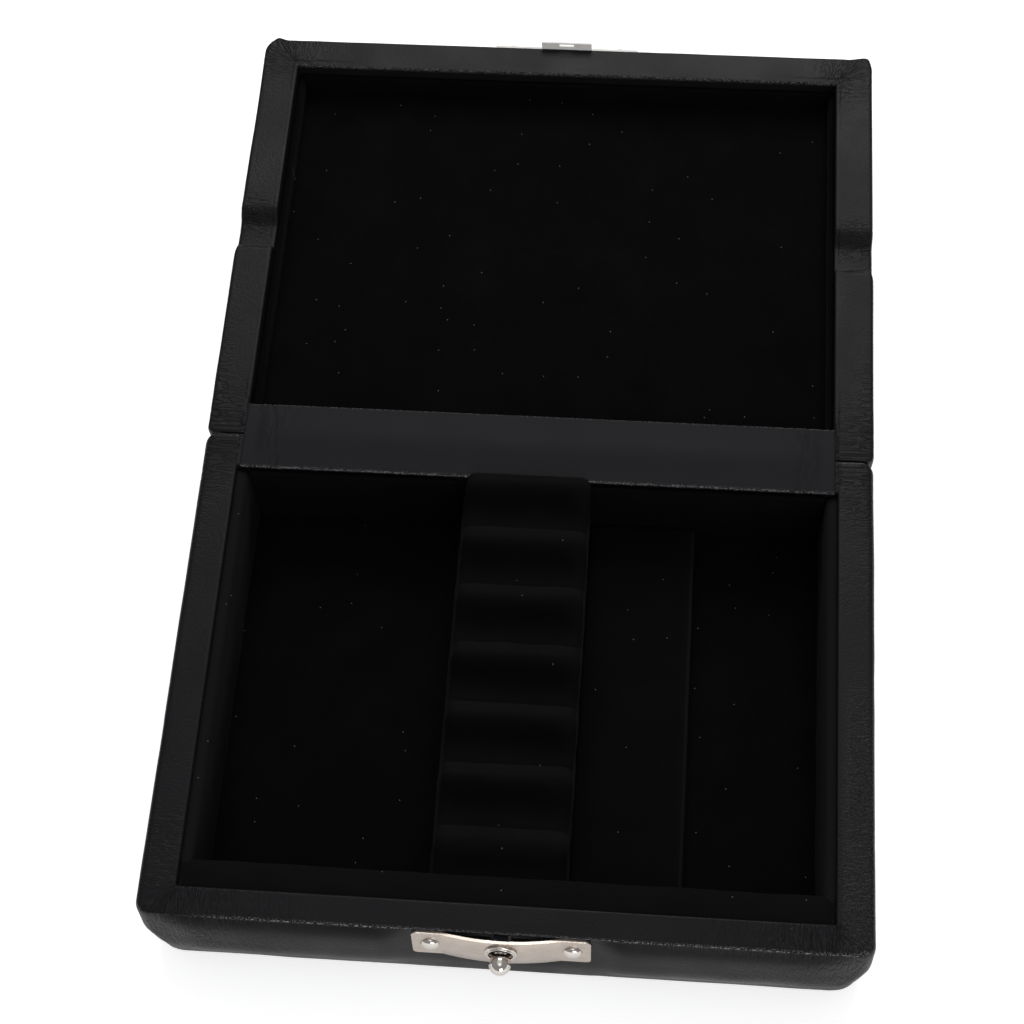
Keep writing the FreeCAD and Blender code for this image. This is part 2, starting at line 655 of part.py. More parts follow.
strike_mid = S.strike_drop + S.strike_height / 2
strike_rivets = rivets("strike_rivets", S.strike_spread,
                       lid_crease_y + strike_mid * lid_lean_sin + S.plate_thickness * lid_lean_cos,
                       rim - strike_mid * lid_lean_cos + S.plate_thickness * lid_lean_sin,
                       f"{lid_lean_angle} - 90 deg")
strike_sheet = doc.addObject("Part::Box", "strike_sheet")
bind(strike_sheet, Length=S.strike_width, Width=S.plate_thickness, Height=S.strike_height)
tilt(strike_sheet, lid_lean_angle)
strike_foot = S.strike_drop + S.strike_height
place(strike_sheet, -(S.strike_width / 2), lid_crease_y + strike_foot * lid_lean_sin,
      rim - strike_foot * lid_lean_cos)
tongue_y = lid_crease_y + S.tongue_offset
tongue = box("strike_tongue", (-tongue_half, tongue_half), (tongue_y, tongue_y + S.tongue_thickness),
             (rim - S.strike_drop - S.plate_thickness, rim + S.tongue_length))
slit_middle = rim + S.slit_reach
slit = box("strike_slit", (-(S.slit_width / 2), S.slit_width / 2),
           (tongue_y - S.tool_margin, tongue_y + S.tool_margin),
           (slit_middle - S.slit_height / 2, slit_middle + S.slit_height / 2))


# Base: a carcass of boards, its leather and its velvet

base_outer = base_former("base_outer", S.corner_radius, ZERO)
base_core = base_former("base_core", S.board_corner, S.leather)
base_hollow = well("base_hollow", well_side + S.leather, well_front - S.leather, well_back + S.leather,
                   board_floor)
base_frame = cut("base_frame", base_core, base_hollow)
base_well = well("base_well", well_side, well_front, well_back, board_floor)

reach_x = half_width + S.tool_margin
board_front = well_front - S.leather
board_back = well_back + S.leather
board_side = well_side + S.leather


def base_board(name, x, y, z, *cuts):
    blank = common(name if not cuts else f"{name}_blank", base_frame, box(f"{name}_stock", x, y, z))
    return cut(name, blank, *cuts) if cuts else blank


whole_x = (-reach_x, reach_x)
whole_y = (outside_y, base_hinge_face + S.tool_margin)
wall_z = (board_floor, above_rim)
base_bottom_board = base_board("base_bottom_board", whole_x, whole_y, (ZERO, board_floor))
base_front_board = base_board("base_front_board", whole_x, (outside_y, board_front), wall_z,
                              catch_pocket, catch_rivets, latch_screws)
base_back_board = base_board("base_back_board", whole_x, (board_back, base_hinge_face + S.tool_margin),
                             wall_z, base_mortise, hinge_screws_base)
base_left_board = base_board("base_left_board", (-reach_x, -board_side), (board_front, board_back), wall_z)
base_right_board = base_board("base_right_board", (board_side, reach_x), (board_front, board_back), wall_z)

panel_inset = S.bottom_round + S.panel_margin
base_bottom_leather = box("base_bottom_leather", (panel_inset - half_width, half_width - panel_inset),
                          (base_front + panel_inset, base_hinge_face - panel_inset),
                          (ZERO, S.panel_proud + S.leather))
base_wall_leather = cut("base_wall_leather", base_outer, base_frame, base_well, base_bottom_leather,
                        hinge_strip_base, base_mortise, catch_pocket, catch_rivets)

base_floor_lining = box("base_floor_lining", (-well_side, well_side), (well_front, well_back),
                        (board_floor, velvet_floor))

well_length = well_back - well_front
pad_front = well_front + S.front_liner
cradle_left = S.cradle_offset - S.cradle_width / 2
cradle_right = S.cradle_offset + S.cradle_width / 2
cradle_foot = cradle_left - S.cradle_flare
cradle_top = rim + S.cradle_rise


def cradle():
    """A block with a sloping left flank, and rounded hollows repeated along its top."""
    body = pad("scalloped_cradle", "XZ_Plane",
               [(cradle_foot, velvet_floor), (cradle_right, velvet_floor), (cradle_right, cradle_top),
                (cradle_left, cradle_top)], well_back - pad_front)
    round_edges(body, S.cradle_shoulder, lambda middle, way: near(middle.z, cradle_top) and near(way.x, 0))
    lip = (S.hollow_pitch - S.crest_flat) / 2
    reach = (lip * lip + S.hollow_depth * S.hollow_depth) / (S.hollow_depth * 2)
    hollow_radius = reach - S.crest_radius
    share = hollow_radius / reach
    centre_z = cradle_top - S.hollow_depth + hollow_radius
    meet_y = lip * share
    meet_z = centre_z + (S.hollow_depth - reach) * share
    first = -(well_length / 2) - S.hollow_pitch * (S.hollow_count - 1) / 2
    high = cradle_top + S.tool_margin
    sketch = outline(sketch_on(body, "hollow_outline", "YZ_Plane"),
                     [(first - lip, cradle_top), (first - meet_y, meet_z), (first + meet_y, meet_z),
                      (first + lip, cradle_top), (first + lip, high), (first - lip, high)],
                     {0: (S.crest_radius, -1), 1: (hollow_radius, 1), 2: (S.crest_radius, -1)})
    hollow = body.newObject("PartDesign::Pocket", "hollow")
    hollow.Profile = sketch
    hollow.Type = "ThroughAll"
    hollow.SideType = "Symmetric"
    doc.recompute()
    pattern = body.newObject("PartDesign::LinearPattern", "hollows")
    pattern.Originals = [hollow]
    axis = next(feature for feature in body.Origin.OriginFeatures if feature.Role == "Y_Axis")
    pattern.Direction = (axis, [""])
    bind(pattern, Length=S.hollow_pitch * (S.hollow_count - 1), Occurrences=S.hollow_count)
    body.Tip = pattern
    return place(body, ZERO, well_back, ZERO)


scalloped_cradle = cradle()


def along_x(middle, way):
    return near(way.y, 0) and near(way.z, 0)


def along_y(middle, way):
    return near(way.x, 0) and near(way.z, 0)


def soft_bar(name, x, y, z, radius, wanted):
    """A padded bar: a block whose wanted upper edges are rounded."""
    height = z[1] - z[0]
    body = pad(name, "XY_Plane", [(x[0], y[0]), (x[1], y[0]), (x[1], y[1]), (x[0], y[1])], height)
    round_edges(body, radius, lambda middle, way: near(middle.z, height) and wanted(middle, way))
    return place(body, ZERO, ZERO, z[0])


liner_left = S.side_liner - well_side
liner_right = well_side - S.side_liner
pad_back = well_back - S.back_liner
side_pad_z = (velvet_floor, rim - S.side_liner_drop)
front_pad_z = (velvet_floor, rim - S.front_liner_drop)
left_bay = (liner_left, cradle_foot)
right_bay = (cradle_right, liner_right)
shelf_edge = cradle_right + S.shelf_width
base_left_liner = soft_bar("base_left_liner", (-well_side, liner_left), (well_front, well_back), side_pad_z,
                           S.side_liner_round, along_y)
base_right_liner = soft_bar("base_right_liner", (liner_right, well_side), (well_front, well_back), side_pad_z,
                            S.side_liner_round, along_y)
base_front_liner = soft_bar("base_front_liner", (liner_left, liner_right), (well_front, pad_front),
                            front_pad_z, S.front_liner_round, along_x)
base_back_left_liner = soft_bar("base_back_left_liner", left_bay, (pad_back, well_back), side_pad_z,
                                S.back_liner_round, along_x)
base_back_right_liner = soft_bar("base_back_right_liner", right_bay, (pad_back, well_back), side_pad_z,
                                 S.back_liner_round, along_x)
raised_shelf = soft_bar("raised_shelf", (cradle_right, shelf_edge), (pad_front, pad_back),
                        (velvet_floor, velvet_floor + S.shelf_height), S.shelf_round,
                        lambda middle, way: along_y(middle, way) and near(middle.x, shelf_edge))


# Lid: the same build, shallower, with finger notches in its side walls

def notch(name, inset):
    """Both finger notches at once: one cutter right across the lid, grown by a depth of leather."""
    middle = lid_hinge_face + S.notch_setback
    half = S.notch_width / 2 + inset
    low = rim - S.notch_depth - inset
    body = pad(name, "YZ_Plane",
               [(middle - half, low), (middle + half, low), (middle + half, above_rim),
                (middle - half, above_rim)],
               reach_x * 2)
    round_edges(body, S.notch_round + inset, lambda middle, way: near(middle.z, low) and near(way.y, 0))
    return place(body, -reach_x, ZERO, ZERO)


lid_blank = lid_former("lid_blank", S.corner_radius, ZERO)
lid_outer = cut("lid_outer", lid_blank, notch("finger_notch", ZERO))
lid_core = lid_former("lid_core", S.board_corner, S.leather)
lid_hollow = well("lid_hollow", lid_well_side + S.leather, lid_well_back - S.leather,
                  lid_well_front + S.leather, lid_board_floor)
lid_frame = cut("lid_frame", lid_core, lid_hollow, notch("finger_notch_board", S.leather))
lid_well = well("lid_well", lid_well_side, lid_well_back, lid_well_front, lid_board_floor)

lid_board_back = lid_well_back - S.leather
lid_board_front = lid_well_front + S.leather
lid_board_side = lid_well_side + S.leather
lid_end = lid_front + S.tool_margin
lid_start = lid_hinge_face - S.tool_margin


def lid_board(name, x, y, z, *cuts):
    blank = common(name if not cuts else f"{name}_blank", lid_frame, box(f"{name}_stock", x, y, z))
    return cut(name, blank, *cuts) if cuts else blank


lid_wall_z = (lid_board_floor, above_rim)
lid_top_board = lid_board("lid_top_board", whole_x, (lid_start, lid_end),
                          (lid_top - S.tool_margin, lid_board_floor))
lid_front_board = lid_board("lid_front_board", whole_x, (lid_board_front, lid_end), lid_wall_z, strike_rivets)
lid_back_board = lid_board("lid_back_board", whole_x, (lid_start, lid_board_back), lid_wall_z,
                           lid_mortise, hinge_screws_lid)
lid_left_board = lid_board("lid_left_board", (-reach_x, -lid_board_side), (lid_board_back, lid_board_front),
                           lid_wall_z)
lid_right_board = lid_board("lid_right_board", (lid_board_side, reach_x), (lid_board_back, lid_board_front),
                            lid_wall_z)
lid_leather = cut("lid_leather", lid_outer, lid_frame, lid_well, hinge_strip_lid, lid_mortise, strike_rivets)
strike_blank = fuse("strike_plate_blank", [strike_sheet, tongue])
strike_plate = cut("strike_plate", strike_blank, slit, strike_rivets, lid_blank)

lid_liner_z = (lid_velvet_floor, rim - S.lid_liner_drop)
lid_inner_back = lid_well_back + S.lid_liner
lid_inner_front = lid_well_front - S.lid_liner
lid_lining_panel = box("lid_lining_panel", (-lid_well_side, lid_well_side), (lid_well_back, lid_well_front),
                       (lid_board_floor, lid_velvet_floor))
lid_back_liner = soft_bar("lid_back_liner", (-lid_well_side, lid_well_side), (lid_well_back, lid_inner_back),
                          lid_liner_z, S.lid_liner_round, along_x)
lid_front_liner = soft_bar("lid_front_liner", (-lid_well_side, lid_well_side),
                           (lid_inner_front, lid_well_front), lid_liner_z, S.lid_liner_round, along_x)
lid_left_liner = soft_bar("lid_left_liner", (-lid_well_side, S.lid_liner - lid_well_side),
                          (lid_inner_back, lid_inner_front), lid_liner_z, S.lid_liner_round, along_y)
lid_right_liner = soft_bar("lid_right_liner", (lid_well_side - S.lid_liner, lid_well_side),
                           (lid_inner_back, lid_inner_front), lid_liner_z, S.lid_liner_round, along_y)

NODES = (
    base_bottom_board, base_front_board, base_back_board, base_left_board, base_right_board,
    base_wall_leather, base_bottom_leather, base_floor_lining, base_left_liner, base_right_liner,
    base_front_liner, base_back_left_liner, base_back_right_liner,
    scalloped_cradle, raised_shelf,
    hinge_strip_base, hinge_leaf_base, hinge_pin, hinge_screws_base,
    catch_plate, catch_collar, catch_rivets, latch_spring, latch_screws, push_button,
    lid_top_board, lid_front_board, lid_back_board, lid_left_board, lid_right_board,
    lid_leather, lid_lining_panel, lid_front_liner, lid_back_liner, lid_left_liner, lid_right_liner,
    hinge_strip_lid, hinge_leaf_lid, hinge_screws_lid, strike_plate, strike_rivets,
)

doc.recompute()
for item in doc.Objects:
    if "Invalid" in item.State or "Error" in item.State:
        raise RuntimeError(f"{item.Name} did not compute: {item.State}")
os.makedirs("parts", exist_ok=True)
for node in NODES:
    if node.Shape.isNull() or not node.Shape.isValid() or not node.Shape.Solids:
        raise RuntimeError(f"{node.Label} has no sound shape")
for node in NODES:
    node.Shape.exportStep(f"parts/{node.Label}.step")
    extent = node.Shape.BoundBox
    print(f"{node.Label:24s} solids {len(node.Shape.Solids)} volume {node.Shape.Volume:9.1f}"
          f"  x {extent.XMin:7.2f} {extent.XMax:7.2f}  y {extent.YMin:7.2f} {extent.YMax:7.2f}"
          f"  z {extent.ZMin:6.2f} {extent.ZMax:6.2f}")
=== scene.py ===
"""Looks for a black leather case that lies open: padded walls, velvet lining, nickel catch."""
import logging
import math
from dataclasses import dataclass, field
from enum import Enum
from functools import partial
from typing import Any, Callable, Iterable, Sequence

import bpy
import numpy as np
from bpy.types import Material, Node, NodeTree, Object
from mathutils import Matrix, Vector


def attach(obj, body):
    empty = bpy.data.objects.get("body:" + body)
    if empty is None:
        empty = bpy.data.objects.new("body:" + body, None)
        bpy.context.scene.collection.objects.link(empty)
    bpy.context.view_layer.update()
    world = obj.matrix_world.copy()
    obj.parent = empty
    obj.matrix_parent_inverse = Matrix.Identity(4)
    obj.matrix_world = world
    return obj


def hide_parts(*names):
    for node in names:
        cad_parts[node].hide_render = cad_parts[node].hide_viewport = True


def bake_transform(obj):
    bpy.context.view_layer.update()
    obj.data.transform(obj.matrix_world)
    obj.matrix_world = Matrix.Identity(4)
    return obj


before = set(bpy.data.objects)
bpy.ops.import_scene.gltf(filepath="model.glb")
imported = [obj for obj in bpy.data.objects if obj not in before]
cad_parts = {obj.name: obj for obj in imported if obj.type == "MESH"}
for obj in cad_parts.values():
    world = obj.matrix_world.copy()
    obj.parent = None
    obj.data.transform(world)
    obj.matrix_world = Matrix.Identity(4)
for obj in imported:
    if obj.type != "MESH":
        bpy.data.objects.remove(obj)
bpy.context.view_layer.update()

log = logging.getLogger("jewelry_case")

MM = 0.001
TINY = 1e-6

# Places shared by several pieces, in millimetres, as the solids have them
RIM = 30.0
HALF_WIDTH = 85.5
BASE_FRONT = -64.3
BASE_HINGE_FACE = 64.3
LID_HINGE_FACE = 64.6
LID_FRONT = 193.2
LID_TOP = 15.0
HINGE_Y = 64.45
HINGE_Z = 30.15
HALF_HINGE = 70.0
KNUCKLE_RADIUS = 0.95
STRIP_HALF = 75.5
STRIP_LEATHER = 0.5

# Where most values of a noise texture lie
NOISE_LOW = 0.3
NOISE_HIGH = 0.7

Pair = tuple[float, float]
Triple = tuple[float, float, float]
Row = tuple[float, ...]


class Slot(Enum):
    """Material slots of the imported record."""

    LEATHER = "black_leather"
    VELVET = "black_velvet"
    BRIGHT = "bright_nickel"
    SPRING = "spring_steel"


class Body(Enum):
    """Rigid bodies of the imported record."""

    BASE = "base"
    LID = "lid"
    BUTTON = "button"


class Show(Enum):
    """How freely a stretch of leather swells and folds."""

    WALL = 1.0
    TOP = 0.8
    RIM = 0.7
    EDGE = 0.5
    HIDDEN = 0.0


class Padding(Enum):
    """Ways to pad a block: radius of its edges, step of its mesh and depth of its waves, in millimetres."""

    PANEL = (0.35, 4.0, 0.08)
    CARD = (0.3, 2.6, 0.12)
    LID_WALL = (0.7, 1.5, 0.1)
    BACK_WALL = (0.9, 1.5, 0.12)
    SHELF = (1.2, 1.8, 0.14)
    FRONT_WALL = (2.0, 1.5, 0.16)
    SIDE_WALL = (2.2, 1.5, 0.16)

    def __init__(self, radius: float, step: float, wave: float) -> None:
        """Keep the three sizes by name.

        Args:
            radius: Radius of the rolled edges.
            step: Spacing of the mesh.
            wave: Depth of the unevenness.
        """
        self.radius = radius
        self.step = step
        self.wave = wave


def srgb(hex_text: str) -> tuple[float, float, float, float]:
    """Turn an sRGB hex colour into linear RGBA.

    Args:
        hex_text: Colour such as "#1d1c1e".

    Returns:
        Linear red, green, blue and an alpha of one.
    """
    parts = [int(hex_text[i:i + 2], 16) / 255 for i in (1, 3, 5)]
    linear = [c / 12.92 if c <= 0.04045 else ((c + 0.055) / 1.055) ** 2.4 for c in parts]
    return (linear[0], linear[1], linear[2], 1.0)


def per_metre(period_mm: float) -> float:
    """Texture scale whose features repeat about every period_mm millimetres."""
    return 1.0 / (period_mm * MM)


def plug(tree: NodeTree, node: Node, inputs: dict[Any, Any]) -> None:
    """Set or link the inputs of a node.

    Args:
        tree: Node tree that holds the node.
        node: The node.
        inputs: Socket name or index to a plain value, or to (node, output) for a link.
    """
    for key, value in inputs.items():
        if isinstance(value, tuple) and isinstance(value[0], Node):
            tree.links.new(value[0].outputs[value[1]], node.inputs[key])
        else:
            node.inputs[key].default_value = value


def add_node(tree: NodeTree, kind: str, inputs: dict[Any, Any] | None = None, **settings: Any) -> Node:
    """Add a node with its settings and links.

    Args:
        tree: Node tree that takes the node.
        kind: Blender's type name of the node, without ShaderNode in front where it starts so.
        inputs: Inputs, as plug takes them.
        settings: Attributes of the node itself.

    Returns:
        The new node.
    """
    node = tree.nodes.new(kind if "Node" in kind else f"ShaderNode{kind}")
    for name, value in settings.items():
        setattr(node, name, value)
    plug(tree, node, inputs or {})
    return node


def start_material(name: str) -> tuple[Material, NodeTree, Node]:
    """Start a material.

    Args:
        name: What the real material is.

    Returns:
        The material, its node tree and its surface shader.
    """
    made = bpy.data.materials.new(name)
    made.use_nodes = True
    return made, made.node_tree, made.node_tree.nodes["Principled BSDF"]


def drift(points: np.ndarray, period: float | Sequence[float], seed: int) -> np.ndarray:
    """Smooth noise from -1 to 1 on a lattice of a given period.

    Args:
        points: Places, one row each, in millimetres.
        period: Lattice spacing in millimetres, one number or one for each axis.
        seed: Picks the noise.

    Returns:
        One value for each place.
    """
    seed_shift = 31.7
    primes = (374761393, 668265263, 1274126177)
    seed_prime = 97531
    stirs = ((13, 1103515245), (16, 69069))
    mask = np.int64(0xFFFFFFFF)
    spot = np.asarray(points, float) / np.asarray(period, float) + seed_shift * seed
    cell = np.floor(spot).astype(np.int64)
    ease = spot - cell
    ease = ease * ease * (3 - 2 * ease)
    total = np.zeros(len(spot))
    for corner in np.ndindex(2, 2, 2):
        i, j, k = (cell + np.array(corner)).T
        mix = (i * primes[0] + j * primes[1] + k * primes[2] + seed * seed_prime) & mask
        for shift, factor in stirs:
            mix = ((mix ^ (mix >> shift)) * factor) & mask
        weight = np.prod(np.where(np.array(corner) == 1, ease, 1 - ease), axis=1)
        total += weight * (mix / float(mask) * 2 - 1)
    return total


def near(values: np.ndarray | float, width: float, middle: float = 0.0) -> np.ndarray:
    """A bell of the given half width about its middle."""
    return np.exp(-((values - middle) / width) ** 2)


def ramp(values: np.ndarray | float, low: float, high: float) -> np.ndarray:
    """Ease from 0 at low to 1 at high."""
    share = np.clip((values - low) / (high - low), 0, 1)
    return share * share * (3 - 2 * share)


def make_object(name: str, vertices: np.ndarray, faces: Sequence[Sequence[int]],
                material: Material, smooth: bool = True) -> Object:
    """Make a mesh object at the origin from points in millimetres.

    Args:
        name: Name of the piece.
        vertices: Points, one row each.
        faces: Corner numbers of each face.
        material: Finish of the piece.
        smooth: Whether its faces are shaded smooth.

    Returns:
        The linked object.
    """
    mesh = bpy.data.meshes.new(name)
    mesh.from_pydata((np.asarray(vertices) * MM).tolist(), [], [list(f) for f in faces])
    mesh.validate()
    mesh.polygons.foreach_set("use_smooth", [smooth] * len(mesh.polygons))
    mesh.materials.append(material)
    item = bpy.data.objects.new(name, mesh)
    bpy.context.scene.collection.objects.link(item)
    return item


def push_out(item: Object, amounts: np.ndarray) -> None:
    """Move each vertex of an object along its normal.

    Args:
        item: Object whose mesh changes.
        amounts: Distances in millimetres, one for each vertex.
    """
    mesh = item.data
    count = len(mesh.vertices)
    place = np.empty(count * 3)
    mesh.vertices.foreach_get("co", place)
    normal = np.empty(count * 3)
    mesh.vertex_normals.foreach_get("vector", normal)
    moved = place.reshape(-1, 3) + normal.reshape(-1, 3) * (amounts * MM)[:, None]
    mesh.vertices.foreach_set("co", moved.ravel())
    mesh.update()


def paint(item: Object, name: str, values: np.ndarray | float) -> None:
    """Store a number, or a vector, on each vertex for a material to read.

    Args:
        item: Object whose mesh takes the layer.
        name: Name that the material asks for.
        values: One value for all vertices, or one for each.
    """
    count = len(item.data.vertices)
    if np.ndim(values) == 2:
        layer = item.data.attributes.new(name, "FLOAT_VECTOR", "POINT")
        layer.data.foreach_set("vector", np.asarray(values, np.float32).ravel())
        return
    layer = item.data.attributes.new(name, "FLOAT", "POINT")
    layer.data.foreach_set("value", np.broadcast_to(np.asarray(values, np.float32), (count,)).copy())


def settle(item: Object, body: Body, slot: Slot, *nodes: str) -> Object:
    """Let a piece ride on a body in place of CAD nodes.

    Args:
        item: The finished piece.
        body: Body that carries it.
        slot: Material slot of the record; not used.
        nodes: CAD nodes that the piece stands for.

    Returns:
        The same piece.
    """
    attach(item, body.value)
    if nodes:
        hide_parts(*nodes)
    log.info("%s: %d faces on %s", item.name, len(item.data.polygons), body.value)
    return item


# Finishes


@dataclass(frozen=True)
class Calfskin:
    """Drum-dyed calfskin with a thin semi-matte top coat."""

    # To the eye: near-black with a fine pebble, a soft broad sheen, drawn wrinkles where it is
    # gathered, and paler fibre where it is cut or folded hard at the finger notches; pale dots along the
    # front fold, the rim by the hinge and the lid's far inner edge are painted highlights, and pale
    # specks on the right rim are painted light
    name: str = "calfskin_black"
    dye: str = "#121113"
    bloom: str = "#19181a"
    pale_wear_and_highlight: str = "#a5a2a4"
    roughness: float = 0.4
    gloss_spread: Pair = (-0.06, 0.08)
    specular: float = 0.1
    bloom_mm: float = 17.0
    warp_mm: float = 2.2
    warp_share: float = 0.0006
    pebble_mm: float = 0.62
    pebble_depth_mm: float = 0.12
    crease_mm: float = 2.6
    crease_depth_mm: float = 0.2
    speck_mm: float = 0.34
    wrinkle_mm: float = 1.05
    wrinkle_draw: float = 0.2
    wrinkle_depth_mm: float = 0.19

    def material(self) -> Material:
        """Build the shader.

        Returns:
            The leather material.
        """
        made, tree, shader = start_material(self.name)
        add = partial(add_node, tree)
        place = add("TexCoord")
        cloud = add("TexNoise", {
            "Vector": (place, "Object"), "Scale": per_metre(self.bloom_mm), "Detail": 4.0})
        tone = add("Mix", {0: (cloud, "Fac"), 6: srgb(self.dye), 7: srgb(self.bloom)}, data_type="RGBA")
        gloss = add("MapRange", {"Value": (cloud, "Fac"), "From Min": NOISE_LOW, "From Max": NOISE_HIGH,
            "To Min": self.roughness + self.gloss_spread[0], "To Max": self.roughness + self.gloss_spread[1]})

        # Pale specks from a painted layer: paler fibre at cut edges and notch lips, painted highlights and
        # painted light elsewhere
        fold = add("Attribute", attribute_name="pale_wear_and_highlight")
        speck = add("TexNoise", {
            "Vector": (place, "Object"), "Scale": per_metre(self.speck_mm), "Detail": 1.0})
        dotted = add("MapRange", {"Value": (speck, "Fac"), "From Min": 0.47, "From Max": 0.62})
        amount = add("Math", {0: (fold, "Fac"), 1: (dotted, "Result")}, operation="MULTIPLY")
        colour = add("Mix", {0: (amount, 0), 6: (tone, 2), 7: srgb(self.pale_wear_and_highlight)}, data_type="RGBA")

        # Pebble and fine creases of the grain
        warp = add("TexNoise", {
            "Vector": (place, "Object"), "Scale": per_metre(self.warp_mm), "Detail": 3.0})
        bent = add("Mix", {
            0: self.warp_share, 4: (place, "Object"), 5: (warp, "Color")}, data_type="VECTOR")
        pebble = add("TexVoronoi", {
            "Vector": (bent, 1), "Scale": per_metre(self.pebble_mm), "Randomness": 1.0}, feature="F1")
        crease = add("TexVoronoi", {
            "Vector": (bent, 1), "Scale": per_metre(self.crease_mm), "Randomness": 1.0},
            feature="DISTANCE_TO_EDGE")
        line = add("MapRange", {"Value": (crease, "Distance"), "From Min": 0.0, "From Max": 0.09})

        # Wrinkles drawn square to the walls, where the painted layer says that the leather is gathered
        run = add("Attribute", attribute_name="run")
        drawn = add("Mapping", {"Vector": (run, "Vector"), "Scale": (1.0, self.wrinkle_draw, 1.0)})
        tuck = add("TexNoise", {
            "Vector": (drawn, 0), "Scale": per_metre(self.wrinkle_mm), "Detail": 1.0, "Distortion": 0.3})
        apart = add("Math", {0: (tuck, "Fac"), 1: 0.5, 2: 0.0}, operation="SUBTRACT")
        depth = add("Math", {0: (apart, 0)}, operation="ABSOLUTE")
        groove = add("MapRange", {"Value": (depth, 0), "From Max": 0.085}, interpolation_type="SMOOTHSTEP")
        gather = add("Attribute", attribute_name="gather")
        height = add("Math", {0: (groove, "Result"), 1: (gather, "Fac")}, operation="MULTIPLY")

        grain = add("Bump", {
            "Height": (pebble, "Distance"), "Strength": 0.17, "Distance": self.pebble_depth_mm * MM},
            invert=True)
        cracks = add("Bump", {
            "Height": (line, "Result"), "Strength": 0.06, "Distance": self.crease_depth_mm * MM,
            "Normal": (grain, "Normal")})
        lines = add("Bump", {"Height": (height, 0), "Strength": 1.0, "Distance": self.wrinkle_depth_mm * MM,
            "Normal": (cracks, "Normal")})
        plug(tree, shader, {
            "Base Color": (colour, 2), "Roughness": (gloss, "Result"), "Normal": (lines, "Normal"),
            "Specular IOR Level": self.specular})
        return made


@dataclass(frozen=True)
class Velvet:
    """Short-pile cotton velvet, dyed black and glued over card."""

    # To the eye: it swallows light face-on, shows a faint grey bloom where the pile turns over an
    # edge, and holds stray lint; paler tops, crests and one shelf edge are painted light
    name: str = "velvet_black"
    deep: str = "#040404"
    brushed: str = "#171718"
    lint: str = "#6f6d6a"
    stroke_mm: float = 15.0
    stroke_share: float = 0.34
    pile_mm: float = 0.3
    pile_depth_mm: float = 0.2
    lint_spacing_mm: float = 9.0
    lint_radius_mm: float = 0.16
    lint_core: float = 0.4
    lint_free: float = 0.66

    def material(self) -> Material:
        """Build the shader.

        Returns:
            The velvet material.
        """
        made, tree, shader = start_material(self.name)
        add = partial(add_node, tree)
        place = add("TexCoord")
        stroke = add("TexNoise", {
            "Vector": (place, "Object"), "Scale": per_metre(self.stroke_mm), "Detail": 3.0, "Roughness": 0.6})
        # Painted light: a painted layer makes tops, crests and one edge paler, on top of random streaks
        lifted = add("Attribute", attribute_name="nap_and_painted_light")
        shade = add("Math", {0: (stroke, "Fac"), 1: self.stroke_share, 2: (lifted, "Fac")},
            operation="MULTIPLY_ADD", use_clamp=True)
        tone = add("Mix", {0: (shade, 0), 6: srgb(self.deep), 7: srgb(self.brushed)}, data_type="RGBA")

        # Lint in some cells of a flat grid
        cell = add("TexVoronoi", {"Vector": (place, "Object"), "Scale": per_metre(self.lint_spacing_mm)},
            feature="F1", voronoi_dimensions="2D")
        share = self.lint_radius_mm / self.lint_spacing_mm
        dot = add("MapRange", {
            "Value": (cell, "Distance"), "From Min": share, "From Max": share * self.lint_core})
        pick = add("SeparateColor", {"Color": (cell, "Color")})
        chosen = add("Math", {0: (pick, 0), 1: self.lint_free}, operation="GREATER_THAN")
        fleck = add("Math", {0: (dot, "Result"), 1: (chosen, 0)}, operation="MULTIPLY")
        colour = add("Mix", {0: (fleck, 0), 6: (tone, 2), 7: srgb(self.lint)}, data_type="RGBA")

        nap_and_painted_light = add("TexNoise", {
            "Vector": (place, "Object"), "Scale": per_metre(self.pile_mm), "Detail": 2.0})
        pile = add("Bump", {"Height": (nap_and_painted_light, "Fac"), "Strength": 0.55, "Distance": self.pile_depth_mm * MM})
        plug(tree, shader, {
            "Base Color": (colour, 2), "Normal": (pile, "Normal"), "Roughness": 1.0,
            "Specular IOR Level": 0.04, "Sheen Weight": 0.02,
            "Sheen Roughness": 0.34, "Sheen Tint": srgb("#b9b9b9")})
        return made


@dataclass(frozen=True)
class PlatedMetal:
    """Rolled or turned metal, plain or under plate, satin or polished."""

    # To the eye: a grey mirror, slightly clouded, blurred by fine rolling marks along one direction
    name: str
    tint: str
    roughness: float
    gloss_spread: Pair = (0.75, 1.3)
    mark_mm: float = 0.35
    mark_draw: float = 0.06
    mark_depth_mm: float = 0.012
    cloud_mm: float = 4.0
    metallic: float = 1.0

    def material(self) -> Material:
        """Build the shader.

        Returns:
            The metal material.
        """
        made, tree, shader = start_material(self.name)
        add = partial(add_node, tree)
        place = add("TexCoord")
        drawn = add("Mapping", {"Vector": (place, "Object"), "Scale": (self.mark_draw, 1.0, 1.0)})
        marks = add("TexNoise", {"Vector": (drawn, 0), "Scale": per_metre(self.mark_mm), "Detail": 3.0})
        cloud = add("TexNoise", {
            "Vector": (place, "Object"), "Scale": per_metre(self.cloud_mm), "Detail": 2.0})
        tone = add("MapRange", {"Value": (cloud, "Fac"), "From Min": NOISE_LOW, "From Max": NOISE_HIGH,
            "To Min": 0.88, "To Max": 1.0})
        colour = add("Mix", {
            0: 1.0, 6: srgb(self.tint), 7: (tone, "Result")}, data_type="RGBA", blend_type="MULTIPLY")
        gloss = add("MapRange", {"Value": (marks, "Fac"), "From Min": NOISE_LOW, "From Max": NOISE_HIGH,
            "To Min": self.roughness * self.gloss_spread[0], "To Max": self.roughness * self.gloss_spread[1]})
        brushed = add("Bump", {
            "Height": (marks, "Fac"), "Strength": 0.2, "Distance": self.mark_depth_mm * MM})
        plug(tree, shader, {
            "Base Color": (colour, 2), "Roughness": (gloss, "Result"), "Normal": (brushed, "Normal"),
            "Metallic": self.metallic})
        return made


